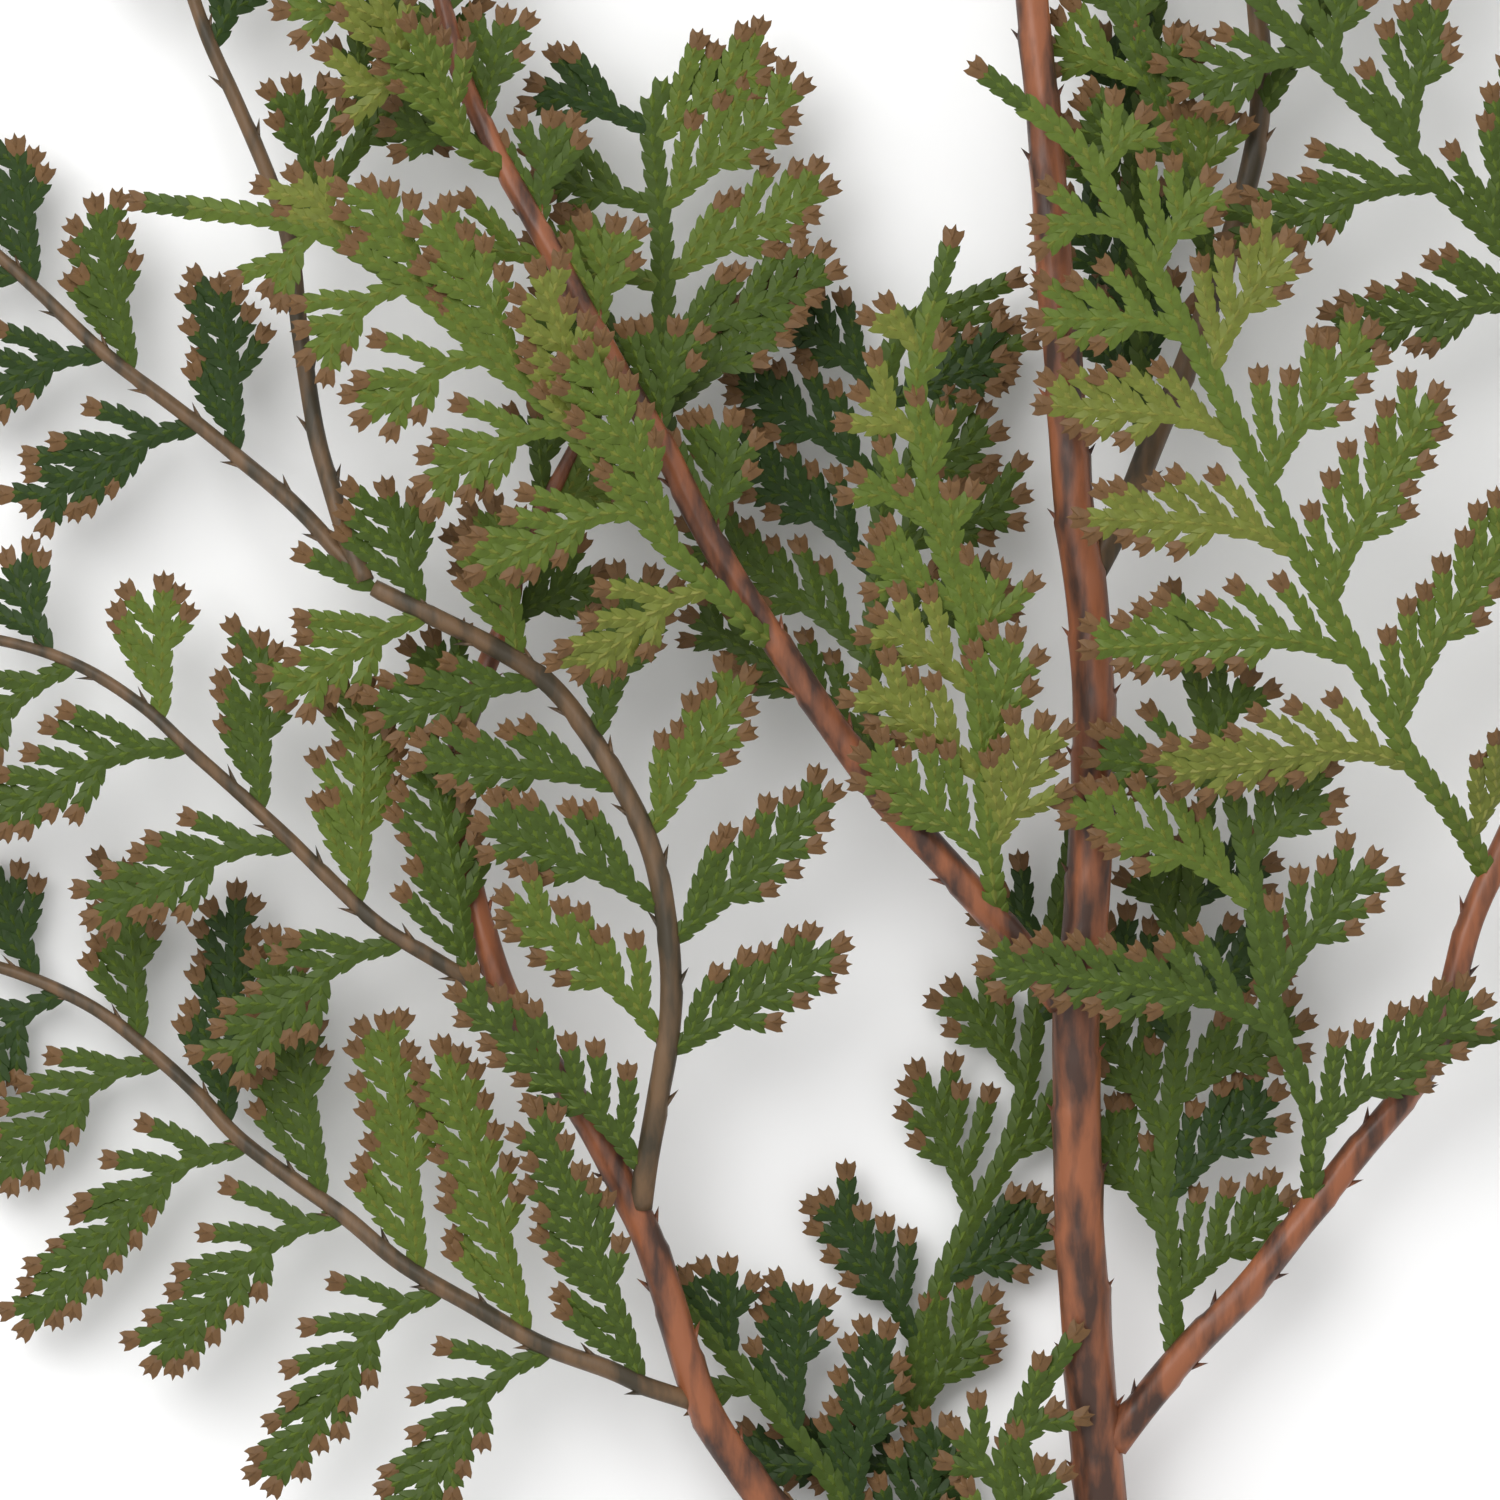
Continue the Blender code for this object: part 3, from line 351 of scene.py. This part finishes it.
    Limb("upper_right_back_frond", "upper_right_bough",
         [(115, 45, 14.2), (114.6, 42, 11.6), (114.4, 38, 10), (114.2, 33, 9.4), (113.8, 27, 9),
          (113.5, 21, 8.8), (113.6, 15, 8.6), (114.6, 8, 8.4), (115.6, 1, 8.2)],
         (0.9, 0.4),
         Row(6, (9, 9), (16, 13, 7), (35, 25), 0.0),
         Row(10, (9, 9), (9, 9, 6), (30, 20), 0.0), False),
    Limb("outer_right_frond", "lower_right_bough",
         [(143.3, 105, 15), (146, 104, 15.2), (149, 103.2, 15.2), (153, 102.4, 14.8), (158, 101, 14),
          (164, 98.5, 12.6), (170, 95.5, 11), (175, 93, 9.4)],
         (0.95, 0.4),
         Row(8, (11, 11), (14, 13, 6), (50, 55), -0.05),
         Row(13, (11, 11), (14, 13, 6), (50, 55), -0.05), False),
    Limb("inner_back_frond", "main_stem",
         [(111, 168, 6.8), (106.5, 162.5, 5.6), (101, 155.5, 4.8), (95.5, 149, 4.4), (92, 143.5, 4.2),
          (91.5, 138, 4.2), (92.8, 132.5, 4.2), (95, 127, 4.2), (98, 121, 4.2), (101, 115.5, 4.2),
          (102.8, 109, 4.2), (103.6, 102.5, 4.2), (105, 96, 4), (106.3, 90, 3.8)],
         (1.1, 0.4),
         Row(26, (14, 14), (24, 18, 6), (45, 50), -0.03),
         Row(33, (14, 14), (18, 12, 5), (40, 40), -0.03), False),
    Limb("inner_left_frond", "lower_left_bough",
         [(91.6, 170.6, 8.7), (90.8, 165, 7.8), (89, 159.5, 7.2), (86.5, 154.5, 7), (83.5, 149, 7),
          (80, 144.5, 7), (76, 139.5, 7), (72.5, 135.5, 7.4), (70, 132, 7.6)],
         (0.9, 0.4),
         Row(16, (10, 10), (8, 8, 4), (45, 50), 0.0),
         Row(10, (10, 10), (22, 18, 5), (35, 40), 0.0), False),
    Limb("inner_front_frond", "main_stem",
         [(111, 174, 9), (107.6, 167.5, 11.5), (104.2, 160.5, 13.4), (101.4, 153.5, 14.2),
          (100.4, 147.5, 14.6),
          (101.4, 143, 14.8), (103.4, 139.8, 15)],
         (0.9, 0.4),
         Row(10, (9, 9), (10, 9, 5), (42, 35), 0.0),
         Row(14, (9, 9), (10, 9, 5), (42, 35), 0.0), False),
    Limb("lower_left_frond", "lower_left_bough",
         [(96.9, 177, 7.4), (91, 175.4, 6.4), (84, 173.5, 6), (76, 172.4, 5.8), (67, 172.6, 5),
          (58, 174.4, 3.8), (50, 178, 2.4), (44, 182.5, 1.2)],
         (1.0, 0.4),
         Row(12, (12, 12), (20, 17, 7), (45, 60), -0.05),
         Row(8, (12, 12), (18, 16, 7), (50, 50), 0.0), False),
    Limb("lower_right_frond", "main_stem",
         [(112.9, 187, 5.9), (117.5, 181, 7), (123, 175, 7.6), (129.5, 169.5, 7.6), (137, 165, 6.6),
          (144.5, 162, 4.8), (151, 160.5, 2.4)],
         (1.0, 0.4),
         Row(10, (12, 12), (14, 12, 6), (45, 45), 0.0),
         Row(15, (12, 12), (14, 12, 6), (45, 60), -0.03), False),
    Limb("leader_side_frond", "middle_left_leader",
         [(29.1, 25.6, 11.5), (30.4, 22.6, 12.1), (32.2, 19.6, 12.7), (34.6, 16, 13.3), (37, 12.8, 13.7),
          (40, 9.4, 13.9), (43, 6, 13.6)],
         (0.65, 0.35),
         Row(5.5, (7, 14), (13, 11, 8), (35, 40), 0.0),
         Row(14, (9, 9), (7, 7, 6), (40, 35), 0.0), False),
]


def place(x, y, z):
    """A place from a route as a point in the branch's own frame, in millimetres."""
    return Vector((x - ORIGIN_X, ORIGIN_Y - y, z))


def smooth_line(points):
    """A smooth line through the points."""
    ends = [2 * points[0] - points[1], *points, 2 * points[-1] - points[-2]]
    line = []
    for a, b, c, d in zip(ends, ends[1:], ends[2:], ends[3:]):
        for piece in range(LINE_PIECES):
            t = piece / LINE_PIECES
            bend = (2 * a - 5 * b + 4 * c - d) * t ** 2 + (3 * b - a - 3 * c + d) * t ** 3
            line.append((2 * b + (c - a) * t + bend) / 2)
    return line + [points[-1]]


class Course:
    """The smooth line of a limb, read by the distance along it."""

    def __init__(self, limb):
        self.limb = limb
        self.line = smooth_line([place(*station) for station in limb.route])
        self.marks = [0.0]
        for a, b in zip(self.line, self.line[1:]):
            self.marks.append(self.marks[-1] + (b - a).length)
        self.length = self.marks[-1]

    def point(self, distance):
        distance = min(max(distance, 0.0), self.length)
        index = next(i for i, mark in enumerate(self.marks[1:]) if mark >= distance)
        span = self.marks[index + 1] - self.marks[index]
        return self.line[index].lerp(self.line[index + 1], (distance - self.marks[index]) / span)

    def heading(self, distance):
        ahead = self.point(distance + HEADING_REACH)
        return (ahead - self.point(distance - HEADING_REACH)).normalized()

    def normal(self, distance):
        """The upper side of the flat plane that the limb's sprays lie in."""
        heading = self.heading(distance)
        return (UP - UP.dot(heading) * heading).normalized()

    def sideways(self, distance, side):
        """Out to the left with side 1, and to the right with side -1."""
        return side * self.normal(distance).cross(self.heading(distance))

    def radius(self, distance):
        foot, tip = self.limb.thickness
        part = max(0.0, 1.0 - distance / self.length)
        return tip + (foot - tip) * part ** TAPER_POWER

    def nearest(self, point):
        """How far along its line the limb passes closest to a point."""
        best = (math.inf, 0.0)
        for a, b, mark in zip(self.line, self.line[1:], self.marks):
            part = min(max((point - a).dot(b - a) / (b - a).length_squared, 0.0), 1.0)
            best = min(best, ((a.lerp(b, part) - point).length, mark + part * (b - a).length))
        return best[1]


def spray_feet(row, course):
    """The distances along a limb at which the sprays of a row grow."""
    feet = []
    distance = row.first
    while distance < course.length - TERMINAL_LENGTH * LAST_FOOT_PART:
        feet.append(distance)
        part = distance / course.length
        distance += row.step[0] + (row.step[1] - row.step[0]) * part
    return feet


def spray_length(row, part):
    """The length of a spray at a part of the limb's length, from the row's three lengths."""
    foot, middle, tip = row.lengths
    if part < 0.5:
        return foot + (middle - foot) * part * 2
    return middle + (tip - middle) * (part * 2 - 1)


def spray_line(course, row, foot, side, dice):
    """The points of a spray's own line, its direction after each of them, and its length."""
    length = spray_length(row, foot / course.length)
    length *= 1 + dice.uniform(-LENGTH_SPREAD, LENGTH_SPREAD)
    swing = dice.uniform(-ANGLE_SPREAD, ANGLE_SPREAD)
    lift = row.lift + dice.uniform(-LIFT_SPREAD, LIFT_SPREAD)
    heading = course.heading(foot)
    outward = course.sideways(foot, side)
    point = course.point(foot)
    points = [point]
    directions = []
    for step in range(SPRAY_STEPS):
        part = min(1.0, (step + 0.5) / (SPRAY_STEPS * BEND_PART))
        angle = math.radians(row.angles[0] + (row.angles[1] - row.angles[0]) * part + swing)
        direction = heading * math.cos(angle) + outward * math.sin(angle) + UP * lift
        point = point + direction * (length / SPRAY_STEPS)
        points.append(point)
        directions.append(direction.normalized())
    return points, directions, length


class Look:
    """A material being made: every node of it comes from one method."""

    def __init__(self, name):
        self.material = bpy.data.materials.new(name)
        self.material.use_nodes = True
        self.tree = self.material.node_tree
        self.shader = self.tree.nodes["Principled BSDF"]

    def node(self, kind, settings, sockets):
        """A node of a kind, with its settings, and its sockets given values or links."""
        made = self.tree.nodes.new(kind)
        for setting, value in settings.items():
            setattr(made, setting, value)
        for socket, value in sockets.items():
            self.feed(made.inputs[socket], value)
        return made.outputs

    def feed(self, socket, value):
        """Gives a socket a value, or links another socket to it."""
        if isinstance(value, bpy.types.NodeSocket):
            self.tree.links.new(value, socket)
        else:
            socket.default_value = value

    def place(self):
        """The place on the object."""
        return self.node("ShaderNodeTexCoord", {}, {})["Object"]

    def blend(self, part, first, second):
        """A colour between two colours."""
        sockets = {"Factor": part, "A": (*first, 1.0), "B": (*second, 1.0)}
        return self.node("ShaderNodeMix", {"data_type": "RGBA"}, sockets)["Result"]

    def finish(self, sockets):
        """Gives the shader its sockets."""
        for socket, value in sockets.items():
            self.feed(self.shader.inputs[socket], value)
        return self.material


def leaf_material(name, colour):
    """A satin scale leaf, a little mottled."""
    look = Look(name)
    noise = look.node("ShaderNodeTexNoise", {}, {"Scale": MOTTLE_SCALE, "Vector": look.place()})
    darker, lighter = ([channel * share for channel in colour] for share in MOTTLE)
    return look.finish({
        "Base Color": look.blend(noise["Fac"], darker, lighter),
        "Roughness": LEAF_ROUGHNESS,
        "Specular IOR Level": LEAF_SPECULAR,
    })


def bark_material(name, dark, light, roughness):
    """Papery bark: dark patches among lighter ones, drawn out along the limb, with a fine relief."""
    look = Look(name)
    place_on = look.node("ShaderNodeMapping", {}, {"Scale": BARK_STRETCH, "Vector": look.place()})
    settings = {"Scale": BARK_SCALE, "Detail": BARK_DETAIL, "Vector": place_on["Vector"]}
    noise = look.node("ShaderNodeTexNoise", {}, settings)["Fac"]
    settings = {"From Min": BARK_RANGE[0], "From Max": BARK_RANGE[1], "Value": noise}
    patches = look.node("ShaderNodeMapRange", {}, settings)["Result"]
    settings = {"Strength": BARK_BUMP, "Distance": BARK_BUMP_DEPTH, "Height": noise}
    relief = look.node("ShaderNodeBump", {}, settings)["Normal"]
    return look.finish({
        "Base Color": look.blend(patches, dark, light),
        "Normal": relief,
        "Roughness": roughness,
        "Specular IOR Level": BARK_SPECULAR,
    })


def floor_material():
    """A plain pale floor."""
    look = Look("pale_floor")
    return look.finish({"Base Color": FLOOR_COLOUR, "Roughness": FLOOR_ROUGHNESS})


def link_mesh(name, points, faces, materials):
    """An object at the origin with a new mesh, whose points are in metres."""
    mesh = bpy.data.meshes.new(name)
    mesh.from_pydata(points, [], faces)
    for material in materials:
        mesh.materials.append(material)
    mesh.update()
    made = bpy.data.objects.new(name, mesh)
    bpy.context.collection.objects.link(made)
    return made


def leaf_pattern():
    """The faces of one leaf unit, and how many points it has."""
    pattern = []
    first = 0
    for rim in (PAIR_RIM, FACE_RIM):
        sides = len(rim)
        ring = [(first + side, first + (side + 1) % sides) for side in range(sides)]
        pattern += [(b, a, first + sides) for a, b in ring]
        pattern += [(a, b, first + sides + 1) for a, b in ring]
        first += sides + 2
    return pattern, first


class Foliage:
    """Gathers the scale leaves of one limb, unit by unit, each with a tone."""

    def __init__(self):
        self.points = []
        self.tones = []

    def leaf(self, point, heading, normal, size, tone):
        """One unit of leaves: closed lenses for the pair at the sides and the pair on the faces."""
        across = normal.cross(heading).normalized()
        upward = heading.cross(across)
        length = LEAF_LENGTH * size
        width = LEAF_HALF_WIDTH * size
        for rim, depth in ((PAIR_RIM, LEAF_HALF_DEPTH), (FACE_RIM, LEAF_HALF_DEPTH * FACE_DEPTH)):
            for along, side in rim:
                self.points.append(point + heading * along * length + across * side * width)
            middle = point + heading * length * RIDGE_PLACE
            self.points.append(middle + upward * depth * size)
            self.points.append(middle - upward * depth * size)
        self.tones.append(tone)

    def chain(self, points, normal, tone, tip, size=1.0):
        """Units of leaves along a line of points, with a bronze one last where tip says so."""
        travelled = 0.0
        for a, b in zip(points, points[1:]):
            step = (b - a).length
            heading = (b - a).normalized()
            while travelled < step:
                self.leaf(a + heading * travelled, heading, normal, size, tone)
                travelled += LEAF_SPACING * size
            travelled -= step
        if tip:
            self.tones[-1] = BRONZE

    def spray(self, points, directions, length, normal, side, tone, dice):
        """One side spray: its own chain of leaves, and branchlets along both of its edges."""
        self.chain(points, normal, tone, True)
        distance = BRANCHLET_FIRST
        turn = 1
        while distance < length - BRANCHLET_LAST:
            part = distance / length
            step = min(SPRAY_STEPS - 1, int(part * SPRAY_STEPS))
            heading = directions[step]
            foot = points[step] + heading * (part * SPRAY_STEPS - step) * (length / SPRAY_STEPS)
            to_tip = turn * side < 0
            if to_tip or part > BACK_START:
                share = 1.0 if to_tip else BACK_LENGTH
                reach = BRANCHLET_LENGTH * (1 - BRANCHLET_LOSS * part) * share
                self.branchlet(foot, heading, normal, turn, reach, tone, dice)
            turn = -turn
            distance += BRANCHLET_SPACING / 2

    def branchlet(self, foot, heading, normal, turn, reach, tone, dice):
        """A short chain of leaves that leaves a spray on one side and bends along it."""
        reach *= dice.uniform(*BRANCHLET_SPREAD)
        swing = dice.uniform(-BRANCHLET_ANGLE_SPREAD, BRANCHLET_ANGLE_SPREAD)
        angle = math.radians(BRANCHLET_ANGLE + swing)
        across = normal.cross(heading).normalized()
        out = heading * math.cos(angle) + across * math.sin(angle) * turn
        out += normal * dice.uniform(-BRANCHLET_TILT, BRANCHLET_TILT)
        bend = (out + heading * BRANCHLET_BEND).normalized()
        middle = foot + out * reach / 2
        self.chain([foot, middle, middle + bend * reach / 2], normal, tone, True, BRANCHLET_SIZE)

    def make(self, name):
        """The joined mesh of all the units. The pair on the faces is a tone lighter than the rest."""
        pattern, each = leaf_pattern()
        count = len(self.tones)
        faces = numpy.array(pattern)[None] + (numpy.arange(count) * each)[:, None, None]
        points = numpy.array([tuple(point) for point in self.points])
        points[:, 2] = numpy.maximum(points[:, 2], FLOOR_ROOM)
        made = link_mesh(name, (points * MM).tolist(), faces.reshape(-1, 3).tolist(), LEAVES)
        tones = numpy.repeat(numpy.array(self.tones)[:, None], len(pattern), axis=1)
        paired = 2 * len(PAIR_RIM)
        lighter = numpy.minimum(tones[:, paired:] + 1, BRONZE - 1)
        tones[:, paired:] = numpy.where(tones[:, paired:] == BRONZE, BRONZE, lighter)
        made.data.polygons.foreach_set("material_index", tones.reshape(-1).astype("int32"))
        return made


def grow_row(foliage, course, row, side):
    """The sprays of one row, with painted shade that darkens them where the limb lies low and painted light
    that makes them lighter in front.
    """
    name = course.limb.name
    dice = random.Random(f"{name}{side}")
    grown = random.Random(f"{name}{side}grown")
    for foot in spray_feet(row, course):
        points, directions, length = spray_line(course, row, foot, side, dice)
        # Painted shade: sprays low down get the darkest tone; painted light: the fronds in front get a
        # lighter one
        low = course.point(foot).z <= SHADE_HEIGHT
        tone = FRONT_LIGHT_TONE if name in FRONT else LOW_SHADE_TONE if low else UPPER_TONE
        tone += grown.choice(LIGHTER_DRAW)
        foliage.spray(points, directions, length, course.normal(foot), side, tone, grown)


def grow_limb(course):
    """All the leaves of a limb: its rows, its tip, and the ones along it where it is a leafy frond."""
    limb = course.limb
    foliage = Foliage()
    grow_row(foliage, course, limb.left, 1)
    grow_row(foliage, course, limb.right, -1)
    end = course.length
    tip = course.point(end)
    last = [tip, tip + course.heading(end) * TERMINAL_LENGTH]
    foliage.chain(last, course.normal(end), UPPER_TONE, True)
    if not limb.woody:
        count = int(end / STRAP_SPACING)
        line = [course.point(end * step / count) for step in range(count + 1)]
        # Painted light: the leaves along a front frond get a lighter tone
        tone = FRONT_LIGHT_TONE if limb.name in FRONT else UPPER_TONE
        foliage.chain(line, course.normal(end / 2), tone, False, STRAP_SIZE)
    return foliage.make(limb.name + "_leaves")


def bark_radius(course, distance, turn):
    """A limb's radius with its lengthwise grooves, and the old leaf bases that swell and step back."""
    groove = math.sin(turn * GROOVES + distance * GROOVE_TWIST)
    ridge = math.sin(turn * RIDGES - distance * RIDGE_TWIST)
    facing = (1 + math.cos(turn - math.pi * (distance // BASE_SPACING))) / 2
    swell = (distance % BASE_SPACING / BASE_SPACING) ** 2 * facing
    relief = GROOVE_DEPTH * (groove + RIDGE_SHARE * ridge) + BASE_SWELL * swell
    return course.radius(distance) * (1 + relief)


def bark_begin(course, parent):
    """Where a limb's skin starts: a little inside its parent's surface."""
    distance = 0.0
    while parent is not None and distance < course.length:
        point = course.point(distance)
        mark = parent.nearest(point)
        if (point - parent.point(mark)).length > parent.radius(mark) * SUNK_FOOT:
            return distance
        distance += SEARCH_STEP
    return 0.0


def bark_ring(course, distance):
    """The points round a limb at a distance along it."""
    centre = course.point(distance)
    across = course.sideways(distance, 1)
    normal = course.normal(distance)
    points = []
    for side in range(BARK_SIDES):
        turn = 2 * math.pi * side / BARK_SIDES
        out = across * math.cos(turn) + normal * math.sin(turn)
        points.append(centre + out * bark_radius(course, distance, turn))
    return points


def ring_faces(ring):
    """The faces between one ring of the bark and the next."""
    faces = []
    for side in range(BARK_SIDES):
        a = ring * BARK_SIDES + side
        b = ring * BARK_SIDES + (side + 1) % BARK_SIDES
        faces.append((a, b, b + BARK_SIDES, a + BARK_SIDES))
    return faces


def add_thorn(points, faces, course, distance, side):
    """The free tip of one old leaf base: a small closed spike that leans along the limb."""
    heading = course.heading(distance)
    out = course.sideways(distance, side)
    normal = course.normal(distance)
    radius = course.radius(distance)
    foot = course.point(distance - THORN_BACK) + out * radius * THORN_DEPTH
    width = min(THORN_WIDTH, radius * THORN_WIDTH_PART)
    first = len(points)
    for corner in range(THORN_SIDES):
        angle = 2 * math.pi * corner / THORN_SIDES * side
        along = heading * math.sin(angle) * width * THORN_STRETCH
        points.append(foot + normal * math.cos(angle) * width + along)
    points.append(course.point(distance) + out * (radius + THORN_RISE) + heading * THORN_REACH)
    apex = first + THORN_SIDES
    faces += [(first + corner, first + (corner + 1) % THORN_SIDES, apex) for corner in range(THORN_SIDES)]
    faces.append(tuple(reversed(range(first, apex))))


def make_bark(course, parent, material):
    """A limb's skin, with the pointed tips of its old leaf bases standing off it."""
    begin = bark_begin(course, parent)
    count = int(course.length / BARK_RING)
    points = []
    faces = []
    for ring in range(count + 1):
        points += bark_ring(course, begin + (course.length - begin) * ring / count)
    for ring in range(count):
        faces += ring_faces(ring)
    faces.append(tuple(reversed(range(BARK_SIDES))))
    faces.append(tuple(range(count * BARK_SIDES, (count + 1) * BARK_SIDES)))
    distance = begin + BASE_SPACING
    side = 1
    while distance < course.length - THORN_LAST:
        add_thorn(points, faces, course, distance, side)
        side = -side
        distance += BASE_SPACING
    flat = [(point.x * MM, point.y * MM, max(point.z, BARK_FLOOR_ROOM) * MM) for point in points]
    made = link_mesh(course.limb.name + "_bark", flat, faces, [material])
    made.data.shade_smooth()
    return made


def declare(piece, nodes):
    """The piece rides on the branch, and stands for its nodes."""
    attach(piece, "root")
    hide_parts(*nodes)


def make_limb(course, parent):
    """The bark of a woody limb, and the leaves that stand for its masses or for the frond itself."""
    limb = course.limb
    nodes = [limb.name]
    if limb.woody:
        material = COPPER_BARK if limb.name in COPPER_LIMBS else BROWN_BARK
        declare(make_bark(course, parent, material), nodes)
        nodes = [f"{limb.name}_{word}_mass" for word in ("left", "right")]
    if limb.left is not None:
        declare(grow_limb(course), nodes)


def make_floor():
    """A plain pale floor out to where it isn't seen to end."""
    near, far = -FLOOR_HALF, FLOOR_HALF
    corners = [(near, near, 0), (far, near, 0), (far, far, 0), (near, far, 0)]
    link_mesh("floor", corners, [(0, 1, 2, 3)], [floor_material()])


def make_light():
    """An even white surround, and one large soft light from the upper left."""
    scene = bpy.context.scene
    scene.world = bpy.data.worlds.new("studio")
    scene.world.use_nodes = True
    sky = scene.world.node_tree.nodes["Background"]
    sky.inputs["Color"].default_value = (1.0, 1.0, 1.0, 1.0)
    sky.inputs["Strength"].default_value = SKY_STRENGTH
    light = bpy.data.lights.new("soft_light", "AREA")
    light.size = LAMP_SIZE
    light.energy = LAMP_ENERGY
    lamp = bpy.data.objects.new("soft_light", light)
    lamp.location = LAMP_PLACE
    lamp.rotation_euler = (-Vector(LAMP_PLACE)).to_track_quat("-Z", "Y").to_euler()
    bpy.context.collection.objects.link(lamp)


def make_camera():
    """A camera with a long lens, straight above the middle of the seen square."""
    middle = place(SEEN_SQUARE / 2, SEEN_SQUARE / 2, 0) * MM
    lens = bpy.data.cameras.new("camera")
    lens.lens = CAMERA_HEIGHT / (SEEN_SQUARE * MM) * lens.sensor_width
    camera = bpy.data.objects.new("camera", lens)
    camera.location = (middle.x, middle.y, CAMERA_HEIGHT + BRANCH_HEIGHT)
    bpy.context.collection.objects.link(camera)
    bpy.context.scene.camera = camera
    bpy.context.scene.view_settings.view_transform = "Standard"


LEAVES = [leaf_material(name, colour) for name, colour in TONES.items()]
COPPER_BARK = bark_material("copper_bark", *COPPER)
BROWN_BARK = bark_material("brown_bark", *BROWN)
COURSES = {limb.name: Course(limb) for limb in LIMBS}
for course in COURSES.values():
    make_limb(course, COURSES.get(course.limb.parent))
make_floor()
make_light()
make_camera()
